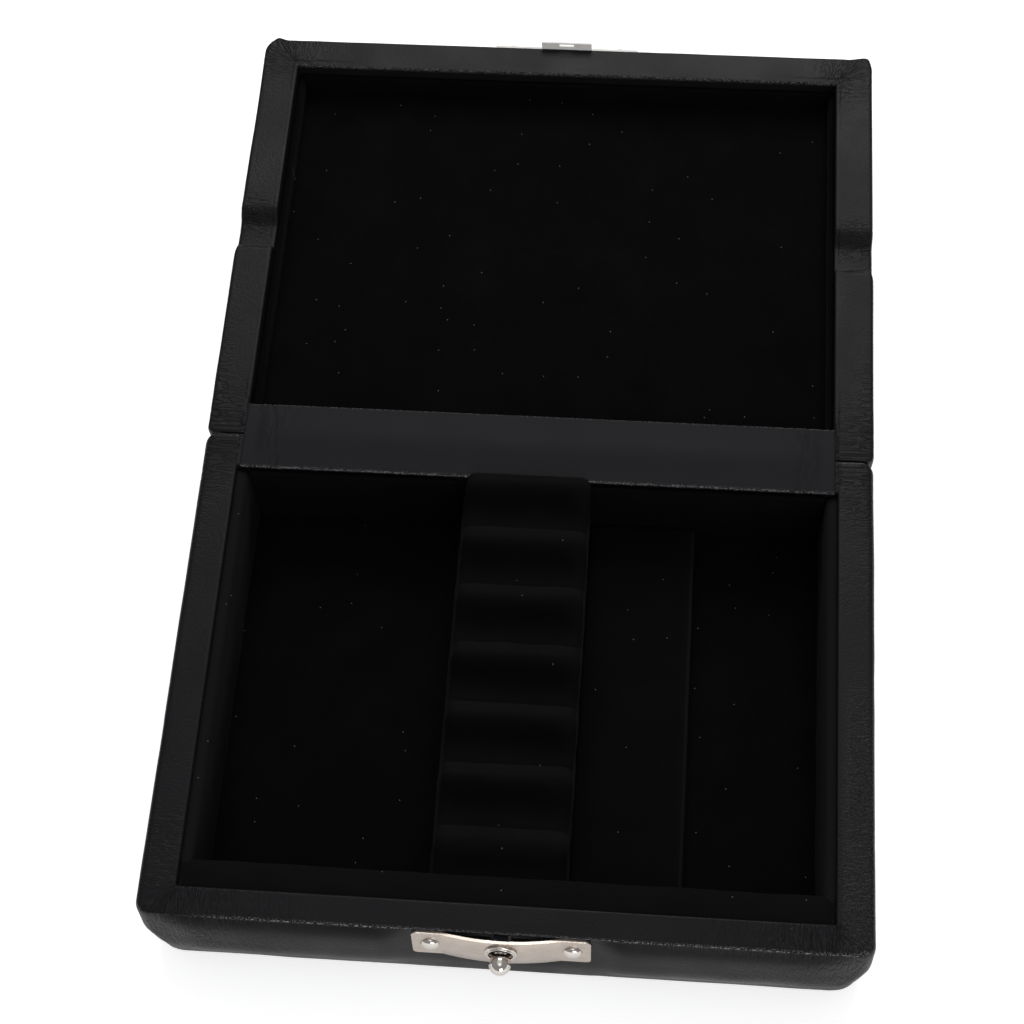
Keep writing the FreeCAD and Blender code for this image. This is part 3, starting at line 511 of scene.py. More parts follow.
@dataclass(frozen=True)
class CaseBoard:
    """Limewood board, planed and left bare under the covering."""

    # To the eye: pale straw with faint long grain
    name: str = "limewood_board"
    pale: str = "#c9b088"
    dark: str = "#a88a5f"
    ring_mm: float = 1.8
    ring_draw: float = 0.08
    fibre_depth_mm: float = 0.2

    def material(self) -> Material:
        """Build the shader.

        Returns:
            The wood material.
        """
        made, tree, shader = start_material(self.name)
        add = partial(add_node, tree)
        place = add("TexCoord")
        along = add("Mapping", {"Vector": (place, "Object"), "Scale": (self.ring_draw, 1.0, 1.0)})
        rings = add("TexNoise", {"Vector": (along, 0), "Scale": per_metre(self.ring_mm), "Detail": 4.0})
        colour = add("Mix", {0: (rings, "Fac"), 6: srgb(self.pale), 7: srgb(self.dark)}, data_type="RGBA")
        fibre = add("Bump", {
            "Height": (rings, "Fac"), "Strength": 0.2, "Distance": self.fibre_depth_mm * MM})
        plug(tree, shader, {
            "Base Color": (colour, 2), "Normal": (fibre, "Normal"), "Roughness": 0.7})
        return made


class Finishes:
    """One material of each finish on the case."""

    def __init__(self) -> None:
        """Build every material once."""
        self.leather = Calfskin().material()
        # Pared thin, the skin is greyer and duller; its paler dye also keeps the tone its lost sheen gave, a
        # painted reflection
        pared = Calfskin("calfskin_pared_lightened", "#1e1d1f", "#242325", roughness=0.55, specular=0.05)
        self.pared = pared.material()
        self.velvet = Velvet().material()
        # Nickel plate: a warm grey blur on the catch plate and a clear mirror on turned pieces; the strike
        # plate is a flat, almost white colour with no metal in it, a painted reflection of bright glare
        self.satin = PlatedMetal("nickel_satin", "#c6baaf", 0.3).material()
        self.bright = PlatedMetal("nickel_polished", "#dad3cc", 0.12).material()
        self.painted_glare_nickel = PlatedMetal("nickel_painted_glare", "#faf7f2", 0.6, metallic=0.0).material()
        # Bare steel: neutral grey on the hinge, blue-black on the spring
        self.steel = PlatedMetal("steel_rolled", "#8f9194", 0.38).material()
        self.blued = PlatedMetal("steel_blued", "#1b1c21", 0.42).material()
        self.board = CaseBoard().material()


# Leather shells: a section swept round a rounded rectangle


@dataclass(frozen=True)
class Swell:
    """Smooth unevenness: depth and spacing in millimetres, and which noise it is."""

    depth: float
    spacing: float | Triple
    noise: int = 0

    def at(self, points: np.ndarray, seed: int = 0) -> np.ndarray:
        """Height of the swell at each point."""
        return self.depth * drift(points, self.spacing, seed + self.noise)


@dataclass(frozen=True)
class Folds:
    """Narrow folds: depth and spacing in millimetres, share of each axis, width, and which noise they are."""

    depth: float
    spacing: float
    draw: Triple
    width: float
    noise: int

    def at(self, points: np.ndarray, seed: int = 0) -> np.ndarray:
        """Depth of the folds at each point, most where the noise crosses zero."""
        noise = drift(points * np.array(self.draw), self.spacing, seed + self.noise)
        return self.depth * np.clip(1 - np.abs(noise) / self.width, 0, 1) ** 2


@dataclass(frozen=True)
class Ring:
    """One turn of leather round a half, as distances in from its widest faces."""

    z: float
    side: float
    low: float
    high: float
    low_radius: float
    high_radius: float


@dataclass(frozen=True)
class Rim:
    """A turned-in rim: insets of its sides, low wall and high wall, its plan radii and its rings."""

    edge: Triple
    inner: Triple
    radii: Pair
    ends: Pair
    shares: Row
    floor: float
    down: Row
    up: Row


def quarter(steps: int) -> list[Pair]:
    """Sine and one-minus-cosine of a quarter turn, for rounding an edge."""
    turn = [math.pi / 2 * i / steps for i in range(steps + 1)]
    return [(math.sin(a), 1 - math.cos(a)) for a in turn]


def hinge_round(z: float, depth: float = 0.3, height: float = 0.35) -> float:
    """How far in a hinge face is at a height, as it rounds over to the rim."""
    share = max(0.0, (z - (RIM - height)) / height)
    return depth * (1 - math.sqrt(max(0.0, 1 - share * share)))


@dataclass
class Section:
    """A leather section, ring by ring, with how freely each ring folds and how pale it is painted as a
    highlight.
    """

    leather: float = 0.8
    fold: float = 0.45
    glue: float = 0.02
    inner_corner: float = 0.6
    least_corner: float = 0.8
    rings: list[Ring] = field(default_factory=list)
    shown: list[float] = field(default_factory=list)
    pale_wear_and_highlight: list[float] = field(default_factory=list)

    def lay(self, z: float, insets: Iterable[float], radii: Iterable[float], show: Show,
            wear_and_highlight: float = 0.0) -> None:
        """Add a ring.

        Args:
            z: Its height.
            insets: How far in it is at the sides, the low wall and the high wall.
            radii: Its plan radii at the low and the high corners.
            show: How freely it folds.
            wear_and_highlight: How pale it is painted, as a painted highlight along a fold.
        """
        self.rings.append(Ring(z, *insets, *radii))
        self.shown.append(show.value)
        self.pale_wear_and_highlight.append(wear_and_highlight)

    def round_edge(self, start: float, size: float, least: Pair, radii: Callable[[float], Pair],
                   lift: float = 0.0, inner: bool = False) -> None:
        """Lay the rings of the rounded edge between a flat face and the walls.

        Args:
            start: Height of the flat face.
            size: Radius of the edge.
            least: Smallest plan radii.
            radii: Plan radii of the outer face at a height.
            lift: How far the inmost ring is lifted.
            inner: Whether it is the inner face of the leather, which is laid from the wall on.
        """
        inside, show, turn = 0.0, Show.WALL, quarter(steps=7)
        if inner:
            inside, show, turn = self.leather, Show.HIDDEN, quarter(steps=4)[::-1]
        for reach, rise in turn:
            inset = inside + (size - inside) * (1 - reach)
            z = start + inside + (size - inside) * rise
            corners = (max(low, r - inset) for low, r in zip(least, radii(z)))
            self.lay(z + lift * (1 - reach), (inset,) * 3, corners, show)

    def turn_in(self, rim: Rim, wear_and_highlight: float = 0.0) -> None:
        """Carry the leather over the rim, down inside it to the floor board, and back up behind.

        Args:
            rim: The rim.
            wear_and_highlight: How pale its outer edge is painted, as a painted highlight along the fold.
        """
        self.lay(RIM, rim.edge, rim.radii, Show.WALL, wear_and_highlight)
        for share in rim.shares:
            insets = (e + (i - self.fold - e) * share for e, i in zip(rim.edge, rim.inner))
            radii = (r * (1 - share) + end * share for r, end in zip(rim.radii, rim.ends))
            self.lay(RIM, insets, radii, Show.RIM)
        corners = (self.inner_corner,) * 2
        for reach, rise in quarter(steps=4):
            insets = (i - self.fold * (1 - reach) for i in rim.inner)
            self.lay(RIM - self.fold * rise, insets, corners, Show.EDGE)
        behind = tuple(i - self.leather + self.glue for i in rim.inner)
        foot = rim.floor + self.glue
        for inner, levels in ((rim.inner, (*rim.down, foot)), (behind, (foot, *rim.up))):
            for z in levels:
                self.lay(z, inner, corners, Show.HIDDEN)

    def line_wall(self, levels: Iterable[float], insets: Callable[[float], Triple],
                  radii: Callable[[float], Pair]) -> None:
        """Lay the inner face of the leather on the outer wall.

        Args:
            levels: Heights of the rings.
            insets: Insets of the outer face at a height.
            radii: Plan radii of the outer face at a height.
        """
        for z in levels:
            corners = (max(self.least_corner, r - self.leather) for r in radii(z))
            self.lay(z, (i + self.leather for i in insets(z)), corners, Show.HIDDEN)


@dataclass
class LeatherShell:
    """The covering of one half, laid over its boards and turned in round the rim."""

    low_y: float
    high_y: float
    hinge_is_high: bool = True
    extra_x: Row = ()
    extra_y: Row = ()
    corner_steps: int = 14
    step: float = 0.95
    crowding: float = 0.35

    # Wrinkles: how they fan out round a corner, and where they gather
    rim: float = 9.2
    fan_share: float = 0.65
    apart: Pair = (400.0, 900.0)
    gather: float = 1.0
    gather_reach: float = 28.0
    gather_edge: float = 0.7
    gather_level: float = 0.7
    gather_patch: Swell = Swell(0.4, 9.0, 51)
    gather_most: float = 1.2

    # Swell, and folds round the corners, at the ends of the hinge, up the sides and in fine patches
    swells: tuple[Swell, Swell] = (Swell(0.10, 24.0), Swell(0.05, 8.0, 1))
    corner_folds: Folds = Folds(0.05, 1.35, (1.0, 0.22, 0.1), 0.42, 2)
    corner_turn: float = 9.0
    hinge_corner: float = 0.8
    hinge_folds: Folds = Folds(0.08, 1.15, (1.0, 0.16, 0.12), 0.34, 3)
    side: float = 0.375
    side_patch: Swell = Swell(1.0, 21.0, 4)
    fine_folds: Folds = Folds(0.03, 1.6, (0.55, 1.0, 0.8), 0.2, 5)
    fine_patch: Swell = Swell(1.0, 15.0, 6)
    mitre: float = 0.05
    mitre_drop: float = 0.6
    mitre_reach: float = 9.0

    # Where plate and strip press it flat, and where it makes room for the strip and the knuckles
    plate_reach: float = 4.0
    strip_calm: Pair = (1.0, 10.0)
    strip_ends: Pair = (-0.3, 0.5)
    strip_gap: float = 0.03
    knuckle_gap: float = 0.25
    knuckle_ends: float = 0.4

    def stops(self, low: float, high: float, extra: Sequence[float]) -> np.ndarray:
        """Shares of the way along a straight wall where the mesh has a column.

        Args:
            low: Where the wall starts.
            high: Where it ends.
            extra: Places that have to have a column.

        Returns:
            Shares from 0 up to, and without, 1.
        """
        count = int(round((high - low) / self.step))
        shares = list(np.linspace(0, 1, count + 1)[:-1])
        for place in extra:
            share = (place - low) / (high - low)
            shares = [s for s in shares if s == 0 or abs(s - share) > self.crowding / count] + [share]
        return np.array(sorted(shares))

    def turn(self, ring: Ring) -> np.ndarray:
        """Points of one ring, anticlockwise from the left end of the low wall.

        Args:
            ring: Height, insets and corner radii.

        Returns:
            Points, one row each.
        """
        x0, x1 = ring.side - HALF_WIDTH, HALF_WIDTH - ring.side
        y0, y1 = self.low_y + ring.low, self.high_y - ring.high
        r0, r1 = ring.low_radius, ring.high_radius
        across = self.stops(-HALF_WIDTH, HALF_WIDTH, self.extra_x)
        along = self.stops(self.low_y, self.high_y, self.extra_y)
        angle = np.linspace(0, math.pi / 2, self.corner_steps + 1)[:-1]
        sine, cosine = np.sin(angle), np.cos(angle)
        flat = np.vstack([
            np.c_[x0 + r0 + (x1 - x0 - 2 * r0) * across, np.full(len(across), y0)],
            np.c_[x1 - r0 + r0 * sine, y0 + r0 - r0 * cosine],
            np.c_[np.full(len(along), x1), y0 + r0 + (y1 - r1 - y0 - r0) * along],
            np.c_[x1 - r1 + r1 * cosine, y1 - r1 + r1 * sine],
            np.c_[x1 - r1 - (x1 - x0 - 2 * r1) * across, np.full(len(across), y1)],
            np.c_[x0 + r1 - r1 * sine, y1 - r1 + r1 * cosine],
            np.c_[np.full(len(along), x0), y1 - r1 - (y1 - r1 - y0 - r0) * along],
            np.c_[x0 + r0 - r0 * cosine, y0 + r0 - r0 * sine]])
        return np.c_[flat, np.full(len(flat), ring.z)]

    def sweep(self, rings: Sequence[Ring], closed: bool) -> tuple[np.ndarray, list[list[int]], int]:
        """Join rings into a skin.

        Args:
            rings: From the outside of the underside, up, over the rim, and back inside.
            closed: Whether the last ring meets the first one; if not, both ends are filled.

        Returns:
            Points, faces and the number of points in a ring.
        """
        turns = [self.turn(ring) for ring in rings]
        count, total = len(turns[0]), len(turns[0]) * len(turns)
        faces = []
        for a in range(0, total if closed else total - count, count):
            b = (a + count) % total
            faces += [[a + j, a + (j + 1) % count, b + (j + 1) % count, b + j] for j in range(count)]
        if not closed:
            faces += [list(range(count))[::-1], list(range(total - count, total))]
        return np.vstack(turns), faces, count

    def hinge_distance(self, points: np.ndarray) -> np.ndarray:
        """How far each point is from the hinge face."""
        return self.high_y - points[:, 1] if self.hinge_is_high else points[:, 1] - self.low_y

    def front_distance(self, points: np.ndarray) -> np.ndarray:
        """How far each point is from the widest part of the front."""
        return points[:, 1] - self.low_y if self.hinge_is_high else self.high_y - points[:, 1]

    def runs(self, points: np.ndarray, count: int) -> np.ndarray:
        """Distances round the walls and across the section, for wrinkles to follow.

        They run square to each wall and fan out round the inner corner at the front.

        Args:
            points: Points of the skin before any wrinkle.
            count: Points in a ring.

        Returns:
            Metres along, metres across and zero for each point.
        """
        wall, front = HALF_WIDTH - np.abs(points[:, 0]), self.front_distance(points)
        fan = np.arctan2(np.clip(self.rim - front, TINY, None), np.clip(self.rim - wall, TINY, None))
        along = np.clip(wall - self.rim, 0, None) - np.clip(front - self.rim, 0, None)
        along = along + self.fan_share * self.rim * fan
        grid = points.reshape(-1, count, 3)
        column = int(np.argmax(grid[len(grid) // 3, :, 0]))
        across = np.r_[0, np.cumsum(np.linalg.norm(np.diff(grid[:, column], axis=0), axis=1))]
        along = along + self.apart[0] * np.sign(points[:, 0]) + self.apart[1] * self.hinge_is_high
        return np.c_[along, np.repeat(across, count), np.zeros(len(points))] * MM

    def gathers(self, points: np.ndarray) -> np.ndarray:
        """How strongly the leather is gathered, most of all at corners and beside the hinge.

        Args:
            points: Points of the skin.

        Returns:
            One strength for each point.
        """
        out = np.abs(points[:, 0])
        wall = np.clip(HALF_WIDTH - out, 0, None)
        hinge, front = self.hinge_distance(points), self.front_distance(points)
        corner = self.gather * near(np.maximum(wall, front), self.gather_reach)
        ends = near(hinge, width=12.0) * near(wall, width=14.0)
        ends += self.gather_edge * near(hinge, width=30.0) * near(wall, width=3.5)
        corner *= self.gather_level + self.gather_patch.at(points)
        return np.clip((corner + ends) * ramp(out, low=6.0, high=20.0), 0, self.gather_most)

    def folds(self, points: np.ndarray, outside: np.ndarray, seed: int) -> np.ndarray:
        """Swell and wrinkles of glued leather, as distances along the normal.

        Args:
            points: Points of the skin.
            outside: How freely the skin folds at each point.
            seed: Picks the noise.

        Returns:
            One distance in millimetres for each point.
        """
        x, y, z = points.T
        wall = HALF_WIDTH - np.abs(x)
        hinge, front = self.hinge_distance(points), self.front_distance(points)
        corner = near(np.hypot(wall, front), width=11.0, middle=3.0)
        corner += self.hinge_corner * near(np.hypot(wall, hinge), width=9.0, middle=2.0)
        about = np.arctan2(front - self.corner_turn, wall - self.corner_turn) * self.corner_turn
        across = near(hinge, width=13.0) * near(wall, width=9.0)
        patch = ramp(self.side_patch.at(points, seed), low=0.0, high=0.6)
        across += self.side * near(wall, width=8.0) * patch
        fine = ramp(self.fine_patch.at(points, seed), low=-0.1, high=0.5)
        mitre = near((wall - front) / math.sqrt(2), width=0.55) * (z > RIM - self.mitre_drop)
        mitre = mitre * (np.maximum(front, wall) < self.mitre_reach)
        made = sum(swell.at(points, seed) for swell in self.swells) - self.mitre * mitre
        made -= corner * self.corner_folds.at(np.c_[about, z, wall], seed)
        made -= across * self.hinge_folds.at(np.c_[y, z, x], seed)
        made -= fine * self.fine_folds.at(points, seed)
        return made * outside

    def calm(self, points: np.ndarray, plate_half: float) -> np.ndarray:
        """Where the skin is free to fold: not under a plate of the catch nor under the hinge strip.

        Args:
            points: Points of the skin.
            plate_half: Half the length of the plate.

        Returns:
            1 where it is free, 0 where it is pressed flat.
        """
        out = np.abs(points[:, 0])
        plate = near(np.clip(out - plate_half, 0, None), width=1.5)
        plate = plate * (self.front_distance(points) < self.plate_reach)
        beyond, reach = self.strip_calm
        under_strip = (out < STRIP_HALF + beyond) * (self.hinge_distance(points) < reach)
        return 1 - np.maximum(plate, under_strip)

    def clear_knuckles(self, points: np.ndarray) -> np.ndarray:
        """Hold the skin back from the hinge knuckles and seat the pared strip in the rim.

        Args:
            points: Points of the skin.

        Returns:
            The moved points.
        """
        moved = points.copy()
        out = np.abs(moved[:, 0])
        under = 1 - ramp(out, *(STRIP_HALF + end for end in self.strip_ends))
        under *= 1 - ramp(self.hinge_distance(moved), low=9.6, high=10.4)
        sunk = RIM - STRIP_LEATHER - self.strip_gap
        moved[:, 2] -= np.clip(moved[:, 2] - sunk, 0, None) * under
        off = moved[:, 1:] - (HINGE_Y, HINGE_Z)
        away = np.hypot(*off.T)
        room = KNUCKLE_RADIUS + self.knuckle_gap
        inside = (away < room) & (out < HALF_HINGE + self.knuckle_ends)
        moved[inside, 1:] = (HINGE_Y, HINGE_Z) + off[inside] / away[inside, None] * room
        return moved


@dataclass
class BaseCover:
    """Leather over the walls of the base, with its underside panel."""

    finishes: Finishes
    panel_half: Pair = (79.0, 57.8)
    panel_top: float = 1.19

    # The section: bulge of the sides, slope of the front, rounded lower edge, underside and rim
    side_bulge: float = 1.5
    side_shoulder: float = 3.4
    shoulder_powers: Pair = (2.4, 0.8)
    front_bulge: float = 2.4
    front_slope: float = 17.0
    bottom_round: float = 6.2
    underside: float = 0.4
    under_insets: Pair = (9.5, 6.8)
    under_radii: tuple[Pair, Pair] = ((1.0, 1.0), (3.0, 1.0))
    least_radii: Pair = (0.7, 0.7)
    rim: Rim = Rim(
        edge=(1.85, 2.56, 0.42), inner=(9.2, 9.2, 8.9), radii=(3.2, 2.6), ends=(0.7, 0.6),
        shares=(0.05, 0.12, 0.22, 0.34, 0.46, 0.58, 0.70, 0.80, 0.88, 0.94),
        floor=3.4, down=(28.9, 27.6, 25.0, 18.0, 10.0), up=(16.0, 28.4, 29.2))

    # Height and plan radius of the corners
    front_corner: tuple[Pair, ...] = (
        (2.0, 5.0), (3.2, 6.9), (5.0, 8.4), (9.0, 8.4), (19.0, 3.4), (RIM, 3.2))
    hinge_corner: tuple[Pair, ...] = ((6.0, 2.0), (14.0, 3.2), (19.0, 3.2), (RIM, 2.6))

    # The padded front: how far it swells, and where it fades out at the foot, plate, corner and back
    puff: float = 2.0
    puff_drop: float = 2.5
    puff_fades: tuple[Pair, ...] = ((6.0, 18.0), (20.8, 29.0), (1.0, 15.0), (2.6, 4.0))

    # The opening for the latch, and the seat of the strike tongue in the fold above it
    window_half: float = 2.4
    window_low: float = 20.0
    window_high: float = 29.15
    window_slack: float = 0.01
    window_reach: float = 12.0
    outer_side: float = 4.0
    recess_half: float = 7.25
    recess_low: float = 27.45
    recess_slack: float = 0.1
    recess_front: float = -64.5
    recess_y: float = -62.1

    # Painted highlights along the front fold and on the rim beside the hinge, and painted light along the
    # right wall
    fold_depth: Pair = (4.2, 2.6)
    fold_left: Pair = (8.0, 26.0)
    edge_highlight: float = 0.22
    seam_highlight: float = 0.3
    seam_bell: Pair = (0.35, 0.4)
    right_rim_light: float = 0.06
    right_rim_light_side: Pair = (8.6, 7.0)
    rub_gather: float = 0.7
    rub_wall: float = 6.0

    def wall_levels(self) -> list[float]:
        """Heights of the rings up the outer wall."""
        return [8.5, 10.5, 12.5, 14.5, 16.5, 18.3, self.window_low, 22.0, 23.8, 25.4, 26.6, self.recess_low,
                28.1, 28.6, self.window_high, 29.45, 29.68, 29.84, 29.95]

    def insets(self, z: float) -> Triple:
        """How far in from the widest faces the outer skin is at a height.

        Args:
            z: Height in millimetres.

        Returns:
            Insets of the sides, the front and the back.
        """
        up = max(0.0, (z - (RIM - self.side_shoulder)) / self.side_shoulder)
        steep, full = self.shoulder_powers
        side = self.side_bulge * (1 - math.sqrt(max(0.0, 1 - min(up, 1.0) ** steep)) ** full)
        front = self.front_bulge * max(0.0, (z - (RIM - self.front_slope)) / self.front_slope)
        return side, front, hinge_round(z)

    def radius(self, z: float) -> Pair:
        """Plan radii of the front and hinge corners at a height."""
        front, hinge = (float(np.interp(z, *zip(*pairs))) for pairs in (self.front_corner, self.hinge_corner))
        return front, hinge

    def section(self) -> Section:
        """Lay the whole closed section, with a painted highlight along the front fold.

        Returns:
            Its rings, from the underside up, over the rim and back inside.
        """
        made = Section()
        for inset, radii in zip(self.under_insets, self.under_radii):
            made.lay(self.underside, (inset,) * 3, radii, Show.HIDDEN)
        made.round_edge(self.underside, self.bottom_round, self.least_radii, self.radius)
        levels = self.wall_levels()
        for z in levels:
            made.lay(z, self.insets(z), self.radius(z), Show.WALL, float(near(z, width=0.1, middle=29.8)))
        made.turn_in(self.rim, self.edge_highlight)
        made.line_wall([z for z in levels[::-1] if z < self.rim.up[-1]], self.insets, self.radius)
        made.round_edge(self.underside, self.bottom_round, self.least_radii, self.radius, inner=True)
        made.lay(self.underside + made.leather, (self.under_insets[0],) * 3, self.under_radii[0], Show.HIDDEN)
        return made

    def open_window(self, points: np.ndarray, faces: list[list[int]], count: int,
                    rings: Sequence[Ring]) -> list[list[int]]:
        """Cut the opening for the latch through both faces of the front skin.

        Args:
            points: Points of the skin.
            faces: Faces of the closed skin.
            count: Points in a ring.
            rings: The rings, in order.

        Returns:
            The faces with the opening and its four edges.
        """
        first = points[:count]
        columns = [j for j in range(count) if abs(first[j, 0]) <= self.window_half + self.window_slack
                   and first[j, 1] < BASE_FRONT + self.window_reach]
        left, right = columns[0], columns[-1]
        bounds = []
        for height in (self.window_low, self.window_high):
            found = [i for i, r in enumerate(rings) if abs(r.z - height) < TINY and r.side < self.outer_side]
            bounds.append((min(found), max(found)))
        (outer_low, inner_low), (outer_high, inner_high) = bounds
        gone = set()
        for low, high in ((outer_low, outer_high), (inner_high, inner_low)):
            gone.update(i * count + j for i in range(low, high) for j in range(left, right))
        kept = [f for n, f in enumerate(faces) if n not in gone]
        for n in range(outer_high - outer_low):
            a, b = (outer_low + n) * count, (outer_low + n + 1) * count
            c, d = (inner_low - n) * count, (inner_low - n - 1) * count
            kept.append([a + left, b + left, d + left, c + left])
            kept.append([b + right, a + right, c + right, d + right])
        for j in range(left, right):
            a, c = outer_low * count, inner_low * count
            kept.append([a + j + 1, a + j, c + j, c + j + 1])
            a, c = outer_high * count, inner_high * count
            kept.append([a + j, a + j + 1, c + j + 1, c + j])
        return kept

    def build_walls(self) -> None:
        """Lay the leather over the walls, turned in at the rim."""
        columns = (-self.recess_half, -self.window_half, self.window_half, self.recess_half)
        shell = LeatherShell(BASE_FRONT, BASE_HINGE_FACE, extra_x=columns)
        section = self.section()
        points, faces, count = shell.sweep(section.rings, closed=True)
        outside, pale_wear_and_highlight = (np.repeat(np.array(values), count) for values in (section.shown, section.pale_wear_and_highlight))
        points = self.plump(shell.clear_knuckles(points), outside)
        faces = self.open_window(points, faces, count, section.rings)
        item = make_object("base_cover", points, faces, self.finishes.leather)
        calm = shell.calm(points, plate_half=20.0)
        push_out(item, shell.folds(points, outside, seed=11) * calm)
        self.sink_recess(item)
        x, y, z = points.T
        # Painted highlight: pale dots along the front fold, fading out towards the left corner
        pale_wear_and_highlight *= ramp(-y, *(-BASE_FRONT - depth for depth in self.fold_depth))
        pale_wear_and_highlight *= ramp(x, *(place - HALF_WIDTH for place in self.fold_left))
        # Painted highlight: a thin pale line on the rim beside the hinge, past the strip's ends
        seam = self.seam_highlight * near(shell.hinge_distance(points), *self.seam_bell)
        seam *= (np.abs(x) > STRIP_HALF + self.seam_bell[1]) * ramp(z, low=28.9, high=29.6)
        # Painted light: pale specks brighten the front part of the right rim, as light from that side would
        painted_light = self.right_rim_light * ramp(-y, low=-20.0, high=25.0) * ramp(z, low=26.5, high=29.0)
        painted_light *= ramp(x, *(HALF_WIDTH - place for place in self.right_rim_light_side))
        paint(item, "pale_wear_and_highlight", pale_wear_and_highlight + (seam + painted_light) * outside)
        paint(item, "run", shell.runs(points, count))
        rubbed = self.rub_gather * near(y, width=20.0, middle=-22.0) * (x > HALF_WIDTH - self.rub_wall)
        paint(item, "gather", np.maximum(shell.gathers(points), rubbed) * calm)
        settle(item, Body.BASE, Slot.LEATHER, "base_wall_leather")

    def plump(self, points: np.ndarray, outside: np.ndarray) -> np.ndarray:
        """Round the padded front over below its fold.

        Args:
            points: Points of the skin.
            outside: How freely the skin folds at each point.

        Returns:
            The moved points.
        """
        moved = points.copy()
        x, y, z = points.T
        foot, plate, corner, depth = self.puff_fades
        full = self.puff * np.tanh(np.clip(RIM - z, 0, None) / self.puff_drop) * ramp(z, *foot)
        free = ramp(np.abs(x), *plate) * ramp(HALF_WIDTH - np.abs(x), *corner)
        free = free * (1 - ramp(y - BASE_FRONT, *depth))
        moved[:, 1] -= full * free * (outside == Show.WALL.value)
        return moved

    def sink_recess(self, item: Object) -> None:
        """Press the front fold back where the strike tongue drops in.

        Args:
            item: The wall covering.
        """
        for vertex in item.data.vertices:
            x, y, z = (c / MM for c in vertex.co)
            in_seat = abs(x) < self.recess_half and z > self.recess_low - self.recess_slack
            if in_seat and self.recess_front < y < self.recess_y:
                vertex.co.y = self.recess_y * MM
        item.data.update()

    def build_panel(self) -> None:
        """Lay the leather panel under the base."""
        spans = [(-half, half) for half in self.panel_half]
        block = SoftBlock("base_panel", *spans, (0.0, self.panel_top), Padding.PANEL, 5)
        settle(block.build(self.finishes.leather), Body.BASE, Slot.LEATHER, "base_bottom_leather")


